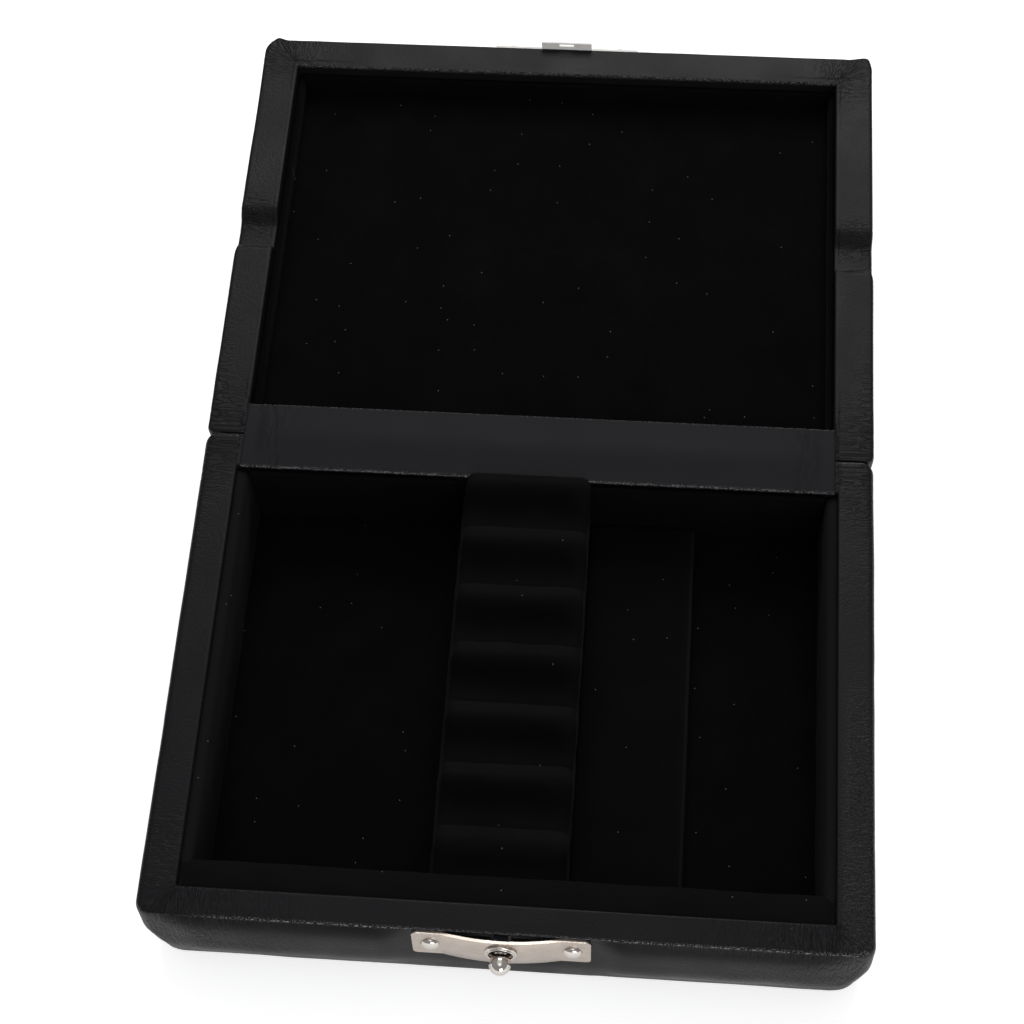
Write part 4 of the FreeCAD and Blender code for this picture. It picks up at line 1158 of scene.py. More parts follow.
@dataclass
class LidCover:
    """Leather over the lid, one hide across the top, the walls and the finger notches."""

    finishes: Finishes

    # The section: rings of the crowned top, its rounded edge, the walls and the rim
    top_insets: Row = (63.8, 56.0, 48.0, 40.0, 32.0, 25.0, 18.0, 12.0, 8.0, 5.5)
    top_radii: Pair = (0.4, 0.4)
    crown: float = 0.105
    crown_reach: float = 26.0
    top_round: float = 4.0
    top_lift: float = 0.1
    side_bulge: float = 0.5
    side_shoulder: float = 2.2
    shoulder_power: float = 2.5
    bulge: float = 2.0
    slope: float = 9.0
    levels: Row = (20.2, 21.4, 22.6, 23.8, 25.0, 26.1, 27.1, 27.9, 28.5, 29.0, 29.4, 29.7, 29.9)
    lined_levels: Row = (28.9, 27.0, 24.0, 21.0, 19.0)
    rim: Rim = Rim(
        edge=(0.9, 0.42, 2.16), inner=(10.2, 8.5, 10.7), radii=(1.8, 4.0), ends=(0.6, 0.7),
        shares=(0.06, 0.13, 0.23, 0.34, 0.46, 0.58, 0.70, 0.80, 0.88, 0.94),
        floor=18.4, down=(28.8, 27.4, 25.0, 21.5), up=(24.0, 28.4, 29.2))

    # Corners at the hinge and the front, the squared one, and small points: place and length of each
    corners: Pair = (2.4, 6.0)
    least_radii: Pair = (0.6, 0.8)
    corner_low: float = 19.0
    square: float = 0.72
    square_reach: float = 6.4
    tips: tuple[Pair, Pair] = ((-82.0, 0.9), (83.4, 0.15))
    tip_y: float = 190.6
    tip_reach: float = 1.7
    tip_foot: Pair = (24.0, 29.0)

    # Finger notches: a steep lip towards the hinge and a gentle one towards the front
    notch_y: float = 128.0
    notch_half: float = 5.8
    notch_depth: float = 3.0
    notch_slack: float = 0.2
    notch_steep: Pair = (-0.5, 0.7)
    notch_gentle: Pair = (-3.6, 0.6)
    lip_columns: Row = (-1.4, -0.9, -0.5, -0.2, 0.1, 0.4, 0.7, 1.1)
    lip_past: float = 0.5
    lip_round: float = 0.5

    # Folds and gathers beside the notches, paler fibre on their lips, and a painted highlight along the front
    # rim's inner edge
    drape: Folds = Folds(0.16, 1.5, (1.0, 0.5, 0.3), 0.4, 41)
    drape_middle: float = 0.5
    notch_gather: float = 0.9
    lip_wear: float = 0.12
    edge_highlight: float = 0.3

    def insets(self, z: float) -> Triple:
        """How far in from the widest faces the outer skin is at a height.

        Args:
            z: Height in millimetres.

        Returns:
            Insets of the sides, the hinge face and the front.
        """
        up = min(1.0, max(0.0, (z - (RIM - self.side_shoulder)) / self.side_shoulder))
        front = self.bulge * max(0.0, (z - (RIM - self.slope)) / self.slope)
        return self.side_bulge * up ** self.shoulder_power, hinge_round(z), front

    def radius(self, z: float) -> Pair:
        """Plan radii of the hinge and front corners at a height.

        Args:
            z: Height in millimetres.

        Returns:
            Both radii.
        """
        share = float(ramp(z, self.corner_low, RIM))
        hinge, front = (low + (high - low) * share for low, high in zip(self.corners, self.rim.radii))
        return hinge, front

    def section(self) -> Section:
        """Lay the section from the middle of the top, round the rim, and back to the middle.

        Returns:
            Its rings, in that order.
        """
        made = Section()
        for inset in self.top_insets:
            lift = self.crown * (1 - min(1.0, inset / self.crown_reach))
            made.lay(LID_TOP + lift, (inset,) * 3, self.top_radii, Show.TOP)
        made.round_edge(LID_TOP, self.top_round, self.least_radii, self.radius, self.top_lift)
        for z in self.levels:
            made.lay(z, self.insets(z), self.radius(z), Show.WALL)
        made.turn_in(self.rim)
        made.line_wall(self.lined_levels, self.insets, self.radius)
        made.round_edge(LID_TOP, self.top_round, self.least_radii, self.radius, inner=True)
        made.lay(LID_TOP + made.leather, (self.top_insets[0],) * 3, self.top_radii, Show.HIDDEN)
        return made

    def press_notches(self, points: np.ndarray) -> np.ndarray:
        """Drape the side walls into the two finger notches.

        Args:
            points: Points of the skin.

        Returns:
            The moved points.
        """
        moved = points.copy()
        out, off = np.abs(moved[:, 0]), moved[:, 1] - self.notch_y
        side = out > HALF_WIDTH - self.rim.inner[0] - self.notch_slack
        dip = ramp(off + self.notch_half, *self.notch_steep)
        dip *= 1 - ramp(off - self.notch_half, *self.notch_gentle)
        sag = side * ramp(moved[:, 2], low=21.5, high=29.0)
        moved[:, 2] -= sag * self.notch_depth * dip
        before = -off - self.notch_half
        lip = sag * near(np.clip(before, 0, None), width=1.6) * (-before < self.lip_past)
        moved[:, 0] -= np.sign(moved[:, 0]) * lip * ramp(out, low=81.5, high=84.6) * self.lip_round
        return moved

    def build(self) -> None:
        """Lay the leather over the lid."""
        columns = tuple(self.notch_y - self.notch_half + place for place in self.lip_columns)
        shell = LeatherShell(LID_HINGE_FACE, LID_FRONT, hinge_is_high=False, extra_y=columns, mitre=0.12,
                             gather=0.7, gather_reach=15.0)
        section = self.section()
        flat, faces, count = shell.sweep(section.rings, closed=False)
        points = self.press_notches(shell.clear_knuckles(flat))
        item = make_object("lid_cover", points, faces, self.finishes.leather)
        outside = np.repeat(np.array(section.shown), count)
        calm = shell.calm(points, plate_half=19.0)
        x, y, z = flat.T
        out, off = np.abs(x), y - self.notch_y
        by_notch = near(np.clip(off - self.notch_half, 0, None), width=5.0) * (off > 0)
        by_notch = by_notch + self.drape_middle * near(off, width=7.0)
        side = near(HALF_WIDTH - out, width=5.0, middle=4.0) * ramp(z, low=20.0, high=25.0)
        drape = by_notch * self.drape.at(np.c_[y, x, z]) * side * outside
        push_out(item, (shell.folds(points, outside, seed=23) - drape) * calm)
        self.pinch_corners(item)
        lip = near(off + self.notch_half, width=0.8) * (out > HALF_WIDTH - self.rim.inner[0])
        # Painted highlight: pale dashes along the front rim's inner edge, where the leather also gathers
        turned = near(shell.front_distance(flat), width=0.3, middle=self.rim.inner[2])
        turned *= self.edge_highlight * ramp(z, low=29.0, high=29.5) * (1 - ramp(out, low=74.0, high=76.0))
        paint(item, "pale_wear_and_highlight", self.lip_wear * lip * outside + turned)
        paint(item, "run", shell.runs(flat, count))
        notch = self.notch_gather * near(off, width=4.5, middle=4.2) * side
        paint(item, "gather", np.maximum.reduce([shell.gathers(flat), notch, turned]) * calm)
        settle(item, Body.LID, Slot.LEATHER, "lid_leather")

    def pinch_corners(self, item: Object) -> None:
        """Square the far right corner, and draw out the small points of leather at both far corners.

        Args:
            item: The lid covering.
        """
        middle = Vector((HALF_WIDTH - self.square_reach, LID_FRONT - self.square_reach))
        foot, top = self.tip_foot
        for vertex in item.data.vertices:
            reach = vertex.co.xy / MM - middle
            if min(reach) > 0:
                full = reach.length / max(reach)
                vertex.co.xy = (middle + reach * (1 + self.square * (full - 1))) * MM
            x, y, z = (c / MM for c in vertex.co)
            up = max(0.0, min(1.0, (z - foot) / (top - foot)))
            for spot, length in self.tips:
                pull = math.exp(-(math.hypot(x - spot, y - self.tip_y) / self.tip_reach) ** 2)
                vertex.co.y += length * pull * up * MM
        item.data.update()


# Velvet: blocks with soft edges, and the scalloped cradle


@dataclass
class SoftBlock:
    """A padded block whose edges roll over and whose faces aren't quite flat; painted light can make its top
    and one edge paler.
    """

    name: str
    x: Pair
    y: Pair
    z: Pair
    padding: Padding
    seed: int
    nap_and_painted_light: float = 0.0
    highlight_x: float | None = None
    most_round: float = 0.49
    wave_sunk: float = 0.8
    painted_light: float = 0.7

    def stops(self, low: float, high: float) -> np.ndarray:
        """Grid places along one axis, close together where the edge rolls over.

        Args:
            low: Where the block starts.
            high: Where it ends.

        Returns:
            Places in rising order.
        """
        radius = min(self.padding.radius, (high - low) * self.most_round)
        roll = radius * (1 - np.cos(np.linspace(0, math.pi / 2, num=5)))
        middle = np.linspace(low + radius, high - radius, max(2, int((high - low) / self.padding.step)))
        return np.unique(np.round(np.r_[low + roll, middle, high - roll], 5))

    def surface(self) -> tuple[np.ndarray, list[list[int]]]:
        """Grid the six faces of the block.

        Returns:
            Places on the block while its edges are sharp, and faces that share their corners.
        """
        stops = [self.stops(*span) for span in (self.x, self.y, self.z)]
        index: dict[tuple[int, ...], int] = {}
        faces: list[list[int]] = []
        for axis in range(3):
            u, v = (axis + 1) % 3, (axis + 2) % 3
            for end in (0, len(stops[axis]) - 1):
                for i, j in np.ndindex(len(stops[u]) - 1, len(stops[v]) - 1):
                    loop = []
                    for di, dj in ((0, 0), (1, 0), (1, 1), (0, 1)):
                        key = [0, 0, 0]
                        key[axis], key[u], key[v] = end, i + di, j + dj
                        loop.append(index.setdefault(tuple(key), len(index)))
                    faces.append(loop if end else loop[::-1])
        return np.array([[stops[axis][key[axis]] for axis in range(3)] for key in index]), faces

    def build(self, material: Material) -> Object:
        """Make the block.

        Args:
            material: Finish of the block.

        Returns:
            The block.
        """
        places, faces = self.surface()
        low, high = np.array([self.x, self.y, self.z]).T
        radius = np.minimum(self.padding.radius, (high - low) * self.most_round)
        core = np.clip(places, low + radius, high - radius)
        away = (places - core) / radius
        length = np.linalg.norm(away, axis=1)
        length[length < TINY] = 1
        places = core + away / length[:, None] * radius
        item = make_object(self.name, places, faces, material)
        wave = self.padding.wave
        push_out(item, wave * drift(places, period=7.0, seed=self.seed) - wave * self.wave_sunk)
        # Painted light: paler towards the top, and a painted highlight line along one edge where one is given
        nap_and_painted_light = self.nap_and_painted_light * ramp((places[:, 2] - low[2]) / (high[2] - low[2]), low=0.25, high=0.9)
        if self.highlight_x is not None:
            nap_and_painted_light += self.painted_light * near(places[:, 0], width=0.5, middle=self.highlight_x)
        paint(item, "nap_and_painted_light", nap_and_painted_light)
        return item


@dataclass
class Lining:
    """Every velvet piece of the case."""

    finishes: Finishes
    fill: float = 0.9

    # The well and its pads, tucked into the walls and a little into the floor
    board: float = 3.4
    floor: float = 4.8
    sink: float = 0.2
    well_side: float = 76.3
    well_front: float = -55.1
    well_back: float = 55.4
    tuck: float = 1.6
    back_tuck: float = 0.4
    side_pad: float = 3.0
    front_pad: float = 7.5
    back_pad: float = 2.0
    pad_top: float = 28.5
    # Painted light: how much paler the tops of the side and front pads are painted
    side_painted_light: float = 0.9
    front_painted_light: float = 0.36

    # The shelf, its top painted paler and a painted highlight along its right edge
    shelf_right: float = 41.6
    shelf_top: float = 9.8
    shelf_painted_light: float = 0.1
    shelf_highlight_inset: float = 0.5

    # The cradle: its outline, its hollows, its mesh, the looseness of its cloth, and painted light on its
    # crests and front-facing slopes
    cradle_foot: float = -19.9
    cradle_left: float = -16.9
    cradle_right: float = 14.1
    cradle_top: float = 31.5
    shoulder: float = 3.0
    hollow_count: int = 7
    hollow_pitch: float = 15.55
    hollow_depth: float = 7.0
    crest_flat: float = 0.6
    crest_radius: float = 1.5
    row_step: float = 0.45
    row_slack: float = 0.2
    loose: tuple[Swell, Swell] = (Swell(0.16, 6.0, 21), Swell(0.1, 2.5, 22))
    loose_sunk: float = 0.12
    end_hold: float = 0.6
    crest_painted_light: float = 0.24
    hollow_painted_light: float = 0.18

    # The lid
    lid_side: float = 75.3
    lid_back: float = 73.1
    lid_front: float = 182.5
    lid_board: float = 18.4
    lid_floor: float = 20.0
    lid_strip: float = 1.5
    lid_strip_top: float = 26.6

    def line(self, body: Body, blocks: dict[str, SoftBlock]) -> None:
        """Make velvet blocks and set them in place of their solids.

        Args:
            body: Body that carries them.
            blocks: CAD node to the block that stands for it.
        """
        for node, block in blocks.items():
            item = settle(block.build(self.finishes.velvet), body, Slot.VELVET, node)

    def build_pads(self) -> None:
        """Line the walls and floor of the base."""
        side, inner, outer = self.well_side, self.well_side - self.side_pad, self.well_side + self.tuck
        front, back = self.well_front + self.front_pad, self.well_back - self.back_pad
        behind = self.well_front - self.tuck
        foot = self.floor - self.sink
        tucked, wall = (behind, self.well_back + self.back_tuck), (foot, self.pad_top)
        hinge_wall = (back, self.well_back)
        self.line(Body.BASE, {
            "base_floor_lining": SoftBlock(
                "floor_velvet", (-side, side), (self.well_front, self.well_back), (self.board, self.floor),
                Padding.CARD, 3),
            "base_left_liner": SoftBlock(
                "left_pad", (-outer, -inner), tucked, wall, Padding.SIDE_WALL, 4, self.side_painted_light),
            "base_right_liner": SoftBlock(
                "right_pad", (inner, outer), tucked, wall, Padding.SIDE_WALL, 5, self.side_painted_light),
            "base_front_liner": SoftBlock(
                "front_pad", (-outer, outer), (behind, front), wall, Padding.FRONT_WALL, 6, self.front_painted_light),
            "base_back_left_liner": SoftBlock(
                "back_left_pad", (-inner, self.cradle_foot), hinge_wall, wall, Padding.BACK_WALL, 7),
            "base_back_right_liner": SoftBlock(
                "back_right_pad", (self.cradle_right, inner), hinge_wall, wall, Padding.BACK_WALL, 8),
            "raised_shelf": SoftBlock(
                "shelf_velvet", (self.cradle_right, self.shelf_right), (front, back), (foot, self.shelf_top),
                Padding.SHELF, 9, self.shelf_painted_light, self.shelf_right - self.shelf_highlight_inset)})

    def build_lid(self) -> None:
        """Line the walls and top of the lid."""
        side, inner = self.lid_side, self.lid_side - self.lid_strip
        back, front = self.lid_back, self.lid_front
        depth = (back + self.lid_strip, front - self.lid_strip)
        wall = (self.lid_floor - self.sink, self.lid_strip_top)
        self.line(Body.LID, {
            "lid_lining_panel": SoftBlock(
                "lid_velvet", (-side, side), (back, front), (self.lid_board, self.lid_floor),
                Padding.CARD, 13),
            "lid_back_liner": SoftBlock(
                "lid_back_pad", (-side, side), (back, depth[0]), wall, Padding.LID_WALL, 14),
            "lid_front_liner": SoftBlock(
                "lid_front_pad", (-side, side), (depth[1], front), wall, Padding.LID_WALL, 15),
            "lid_left_liner": SoftBlock("lid_left_pad", (-side, -inner), depth, wall, Padding.LID_WALL, 16),
            "lid_right_liner": SoftBlock("lid_right_pad", (inner, side), depth, wall, Padding.LID_WALL, 17)})

    def crest(self, y: np.ndarray) -> np.ndarray:
        """Height of the cradle's top along the case.

        Args:
            y: Places along the cradle.

        Returns:
            Heights, from arcs that meet each other smoothly.
        """
        middle = (self.well_front + self.well_back) / 2
        first = middle - self.hollow_pitch * (self.hollow_count - 1) / 2
        turn = np.clip(np.round((y - first) / self.hollow_pitch), 0, self.hollow_count - 1)
        off = np.abs(y - first - turn * self.hollow_pitch)
        lip = (self.hollow_pitch - self.crest_flat) / 2
        reach = (lip ** 2 + self.hollow_depth ** 2) / (2 * self.hollow_depth)
        hollow = reach - self.crest_radius
        centre = self.cradle_top - self.hollow_depth + hollow
        meet = lip * hollow / reach
        low = centre - np.sqrt(np.clip(hollow ** 2 - off ** 2, 0, None))
        over = np.clip(lip - off, 0, self.crest_radius)
        high = self.cradle_top - self.crest_radius + np.sqrt(self.crest_radius ** 2 - over ** 2)
        return np.where(off < meet, low, np.where(off < lip, high, self.cradle_top))

    def cradle_row(self, y: float, top: float) -> np.ndarray:
        """One section across the cradle.

        Args:
            y: Where the section stands.
            top: Height of the cradle there.

        Returns:
            Points from the left foot, over the top, to the right foot.
        """
        radius, right = self.shoulder, self.cradle_right
        turn = np.linspace(0, math.pi / 2, num=7)
        slope = (self.cradle_left - self.cradle_foot) / (self.cradle_top - self.floor)
        edge = self.cradle_foot + slope * (top - self.floor)
        flank = np.linspace(self.floor - self.sink, top - radius, num=10)[:-1]
        across = np.linspace(edge + radius, right - radius, num=22)[1:-1]
        x = np.r_[self.cradle_foot + slope * (flank - self.floor), edge + radius - radius * np.cos(turn),
                  across, right - radius + radius * np.sin(turn), np.full(len(flank), right)]
        z = np.r_[flank, top - radius + radius * np.sin(turn), np.full(len(across), top),
                  top - radius + radius * np.cos(turn), flank[::-1]]
        return np.c_[x, np.full(len(x), y), z]

    def build_cradle(self) -> None:
        """Roll velvet over the scalloped cradle."""
        front, back = self.well_front + self.front_pad, self.well_back
        along = np.arange(front, back + self.row_slack, self.row_step)
        along[-1] = back
        heights = self.crest(along)
        rows = [self.cradle_row(y, top) for y, top in zip(along, heights)]
        count, points = len(rows[0]), np.vstack(rows)
        faces = []
        for a in range(0, len(points) - count, count):
            b = a + count
            faces += [[a + j, b + j, b + (j + 1) % count, a + (j + 1) % count] for j in range(count)]
        faces += [list(range(count)), list(range(len(points) - count, len(points)))[::-1]]
        item = make_object("cradle_velvet", points, faces, self.finishes.velvet)
        y, z = points[:, 1], points[:, 2]
        cloth = sum(swell.at(points) for swell in self.loose) - self.loose_sunk
        push_out(item, cloth * ((y > front + self.end_hold) & (y < back - self.end_hold)))
        # Painted light: the crests and the slopes that face the front are painted paler
        rise = np.repeat(np.gradient(heights, along), count)
        over = ramp(z, low=29.6, high=30.4)
        lit = self.crest_painted_light * ramp(z, low=23.0, high=31.0) * np.maximum(ramp(rise, low=-0.4, high=0.2), over)
        paint(item, "nap_and_painted_light", self.hollow_painted_light * np.maximum(ramp(rise, low=-1.2, high=-0.2), over) + lit)
        settle(item, Body.BASE, Slot.VELVET, "scalloped_cradle")


# Hinge strip


@dataclass
class HingeStrip:
    """One pared strip of leather across both rims, over the hinge."""

    finishes: Finishes
    base_edge: float = 55.4
    lid_edge: float = 73.1
    overhang: float = 0.35
    cut_width: float = 18.6
    blend_reach: float = 2.2

    # The mesh: rows before, over and past the stretch that bends
    bend: Pair = (61.8, 67.1)
    bend_gap: float = 0.3
    rows: tuple[int, int, int] = (15, 25, 13)

    # The ridge over the knuckles, lower past their ends, and the roll of the near edge
    ridge: float = 1.42
    ridge_ends: Pair = (-0.5, 2.5)
    ridge_least: float = 0.35
    roll: float = 0.28
    roll_reach: float = 0.5
    paring: float = 0.04
    hinge_paring: Pair = (0.14, 2.0)

    # Unevenness, and creases near both ends: offset, lean and depth of each
    wave: Swell = Swell(0.035, (9.0, 4.0, 1.0), 31)
    stray: Swell = Swell(0.5, (40.0, 2.4, 1.0), 33)
    crease_from_end: float = 8.0
    creases: tuple[Triple, ...] = ((0.0, 0.16, 0.30), (-3.1, -0.22, 0.20), (2.6, 0.3, 0.12))

    # Pale cut edges and gathers at the ends, as strength and width
    near_wear: Pair = (0.6, 0.3)
    far_wear: Pair = (0.2, 0.2)
    end_gather: Pair = (0.5, 3.0)

    def top(self, x: np.ndarray, y: np.ndarray) -> np.ndarray:
        """Height of the strip's upper face.

        Args:
            x: Places along the hinge.
            y: Places across it.

        Returns:
            Heights.
        """
        ends = (HALF_HINGE + end for end in self.ridge_ends)
        full = self.ridge_least + (1 - self.ridge_least) * (1 - ramp(np.abs(x), *ends))
        height = RIM + self.ridge * near(y, width=6.2, middle=HINGE_Y) * full
        height -= self.roll * ramp(-y, -self.base_edge - self.roll_reach, -self.base_edge + self.overhang)
        places = np.c_[x, y, np.zeros(len(x))]
        height += self.wave.at(places)
        stray = self.stray.at(places)
        for offset, lean, depth in self.creases:
            line = STRIP_HALF - self.crease_from_end + offset + lean * (y - HINGE_Y) + stray
            height -= depth * near(np.abs(x) - line, width=0.38)
        return height

    def faces(self, across: int, along: int) -> list[list[int]]:
        """Faces of the upper side, the lower side and the cut edge between them.

        Args:
            across: Columns of the mesh.
            along: Rows of the mesh.

        Returns:
            Corner numbers; those of the lower side follow all of the upper side's.
        """
        total = across * along
        made = []
        for i, j in np.ndindex(along - 1, across - 1):
            a = i * across + j
            made.append([a, a + 1, a + across + 1, a + across])
            made.append([total + a, total + a + across, total + a + across + 1, total + a + 1])
        rim = list(range(across)) + [i * across + across - 1 for i in range(1, along)]
        rim += [(along - 1) * across + j for j in range(across - 2, -1, -1)]
        rim += [i * across for i in range(along - 2, 0, -1)]
        return made + [[b, a, total + a, total + b] for a, b in zip(rim, rim[1:] + rim[:1])]

    def build(self) -> None:
        """Make the strip across both halves."""
        near_edge = self.base_edge - self.overhang
        low, high = self.bend
        stretches = ((near_edge, low - self.bend_gap), self.bend, (high + self.bend_gap, self.lid_edge))
        xs = np.linspace(-STRIP_HALF, STRIP_HALF, num=260)
        ys = np.concatenate([np.linspace(*span, count) for span, count in zip(stretches, self.rows)])
        gx, gy = (g.ravel() for g in np.meshgrid(xs, ys))
        upper = np.c_[gx, gy, self.top(gx, gy)]
        pared, width = self.hinge_paring
        thick = STRIP_LEATHER - self.paring - pared * near(gy, width, HINGE_Y)
        lower = np.c_[gx, gy, upper[:, 2] - thick]
        faces = self.faces(len(xs), len(ys))
        item = make_object("hinge_strip", np.vstack([upper, lower]), faces, self.finishes.pared)
        raw = 0.0
        for edge, (wear_and_highlight, width) in ((near_edge, self.near_wear), (self.lid_edge, self.far_wear)):
            raw = raw + wear_and_highlight * near(gy, width, edge)
        gather, width = self.end_gather
        ends = gather * near(np.abs(gx), width, STRIP_HALF - self.crease_from_end)
        flat = np.c_[gx, gy, np.zeros(len(gx))] * MM
        for name, values in (("pale_wear_and_highlight", raw), ("run", flat), ("gather", ends)):
            paint(item, name, np.concatenate([values, values]))
        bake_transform(item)
        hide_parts("hinge_strip_base", "hinge_strip_lid")
        log.info("hinge_strip: %d faces across the hinge", len(item.data.polygons))


# Pieces that node trees repeat


def start_tree(name: str, sizes: dict[str, str]) -> tuple[NodeTree, Node]:
    """Start a geometry node tree.

    Args:
        name: Name of the tree.
        sizes: Name of each input of its own to the kind of its socket.

    Returns:
        The tree and its input node.
    """
    tree = bpy.data.node_groups.new(name, "GeometryNodeTree")
    shared = {"Count": "Int", "Seat": "Vector", "Turn": "Vector", "Material": "Material"}
    for label, kind in {**sizes, **shared}.items():
        tree.interface.new_socket(label, in_out="INPUT", socket_type=f"NodeSocket{kind}")
    tree.interface.new_socket("Mesh", in_out="OUTPUT", socket_type="NodeSocketGeometry")
    return tree, add_node(tree, "NodeGroupInput")


def end_tree(tree: NodeTree, given: Node, copies: Node) -> None:
    """Make copies real, set them in their place and dress them.

    Args:
        tree: The geometry node tree.
        given: Its input node.
        copies: Its node that makes the copies.
    """
    real = add_node(tree, "GeometryNodeRealizeInstances", {0: (copies, 0)})
    seated = add_node(tree, "GeometryNodeTransform", {
        "Geometry": (real, 0), "Translation": (given, "Seat"), "Rotation": (given, "Turn")})
    dressed = add_node(tree, "GeometryNodeSetMaterial", {
        "Geometry": (seated, 0), "Material": (given, "Material")})
    add_node(tree, "NodeGroupOutput", {0: (dressed, 0)})


def grown(name: str, tree: NodeTree, values: dict[str, Any]) -> Object:
    """Evaluate a geometry node tree into a plain mesh object.

    Args:
        name: Name of the piece.
        tree: The node tree.
        values: Input name to value.

    Returns:
        The piece, with no modifier left on it.
    """
    host = bpy.data.objects.new(f"{name}_host", bpy.data.meshes.new(f"{name}_host"))
    bpy.context.scene.collection.objects.link(host)
    change = host.modifiers.new("grow", "NODES")
    change.node_group = tree
    for item in tree.interface.items_tree:
        if item.item_type == "SOCKET" and item.in_out == "INPUT":
            change[item.identifier] = values[item.name]
    graph = bpy.context.evaluated_depsgraph_get()
    mesh = bpy.data.meshes.new_from_object(host.evaluated_get(graph))
    mesh.name = name
    bpy.data.objects.remove(host)
    made = bpy.data.objects.new(name, mesh)
    bpy.context.scene.collection.objects.link(made)
    return made


@dataclass
class RivetRow:
    """Domed rivets repeated along a plate by a node tree."""

    name: str
    spread: float
    seat: Triple
    lean: float
    head_radius: float = 2.3
    dome: float = 1.2
    root: float = -0.12
    count: int = 2

    def build(self, material: Material) -> Object:
        """Build the node tree and keep its result as a plain mesh.

        Args:
            material: Finish of the rivets.

        Returns:
            The rivets.
        """
        tree, given = start_tree(f"{self.name}_row", {
            "Spread": "Float", "Head Radius": "Float", "Dome": "Float"})
        add = partial(add_node, tree)
        back = add("Math", {0: (given, "Spread"), 1: -1.0}, operation="MULTIPLY")
        start = add("CombineXYZ", {0: (back, 0)})
        end = add("CombineXYZ", {0: (given, "Spread")})
        row = add("GeometryNodeMeshLine", {
            "Count": (given, "Count"), "Start Location": (start, 0), "Offset": (end, 0)}, mode="END_POINTS")

        # A unit ball, cut off flat below and scaled to a head
        ball = add("GeometryNodeMeshUVSphere", {"Segments": 40, "Rings": 28, "Radius": 1.0})
        place = add("GeometryNodeInputPosition")
        split = add("SeparateXYZ", {0: (place, 0)})
        lifted = add("Math", {0: (split, 2), 1: self.root}, operation="MAXIMUM")
        tall = add("Math", {0: (lifted, 0), 1: (given, "Dome")}, operation="MULTIPLY")
        wide_x, wide_y = (add("Math", {
            0: (split, axis), 1: (given, "Head Radius")}, operation="MULTIPLY") for axis in (0, 1))
        whole = add("CombineXYZ", {0: (wide_x, 0), 1: (wide_y, 0), 2: (tall, 0)})
        head = add("GeometryNodeSetPosition", {"Geometry": (ball, "Mesh"), "Position": (whole, 0)})
        smooth = add("GeometryNodeSetShadeSmooth", {0: (head, 0)})
        copies = add("GeometryNodeInstanceOnPoints", {"Points": (row, 0), "Instance": (smooth, 0)})
        end_tree(tree, given, copies)
        return grown(self.name, tree, {
            "Spread": self.spread * MM, "Head Radius": self.head_radius * MM, "Dome": self.dome * MM,
            "Count": self.count, "Seat": Vector(self.seat) * MM, "Turn": (self.lean, 0.0, 0.0),
            "Material": material})


@dataclass
class EdgeFibres:
    """Short pale fibres along the cut edge of the hinge strip, by a node tree."""

    length: float = 149.0
    seat: Triple = (0.0, 55.1, 29.72)
    count: int = 230
    fibre: float = 0.32
    girth: float = 0.07
    tip: float = 0.02
    sides: int = 5
    seed: int = 7

    # Least and most of what is random: place in millimetres, turn in radians and size
    jog: tuple[Triple, Triple] = ((-0.3, -0.06, -0.1), (0.3, 0.08, 0.1))
    turns: tuple[Triple, Triple] = ((1.0, -0.6, -0.5), (2.1, 0.6, 0.5))
    sizes: Pair = (0.5, 1.3)

    def build(self, material: Material) -> None:
        """Build the node tree and keep the fibres as one plain mesh.

        Args:
            material: Finish of the fibres.
        """
        tree, given = start_tree("edge_fibres", {
            "Length": "Float", "Fibre": "Float", "Girth": "Float", "Seed": "Int"})
        add = partial(add_node, tree)
        ends = []
        for share in (-0.5, 0.5):
            half = add("Math", {0: (given, "Length"), 1: share}, operation="MULTIPLY")
            ends.append(add("CombineXYZ", {0: (half, 0)}))
        row = add("GeometryNodeMeshLine", {
            "Count": (given, "Count"), "Start Location": (ends[0], 0), "Offset": (ends[1], 0)},
            mode="END_POINTS")
        least, most = (tuple(Vector(jog) * MM) for jog in self.jog)
        jog = add("FunctionNodeRandomValue", {
            0: least, 1: most, "Seed": (given, "Seed")}, data_type="FLOAT_VECTOR")
        spread = add("GeometryNodeSetPosition", {"Geometry": (row, 0), "Offset": (jog, 0)})
        stub = add("GeometryNodeMeshCone", {
            "Vertices": self.sides, "Radius Top": self.tip * MM, "Radius Bottom": (given, "Girth"),
            "Depth": (given, "Fibre")})
        turn = add("FunctionNodeRandomValue", {
            0: self.turns[0], 1: self.turns[1], "Seed": (given, "Seed")}, data_type="FLOAT_VECTOR")
        size = add("FunctionNodeRandomValue", {
            2: self.sizes[0], 3: self.sizes[1], "Seed": (given, "Seed")}, data_type="FLOAT")
        copies = add("GeometryNodeInstanceOnPoints", {
            "Points": (spread, 0), "Instance": (stub, 0), "Rotation": (turn, 0), "Scale": (size, 1)})
        end_tree(tree, given, copies)
        item = grown("edge_fibres", tree, {
            "Length": self.length * MM, "Fibre": self.fibre * MM, "Girth": self.girth * MM, "Seed": self.seed,
            "Count": self.count, "Seat": Vector(self.seat) * MM, "Turn": Vector(), "Material": material})
        paint(item, "pale_wear_and_highlight", 1.0)
        settle(item, Body.BASE, Slot.LEATHER)


# Catch


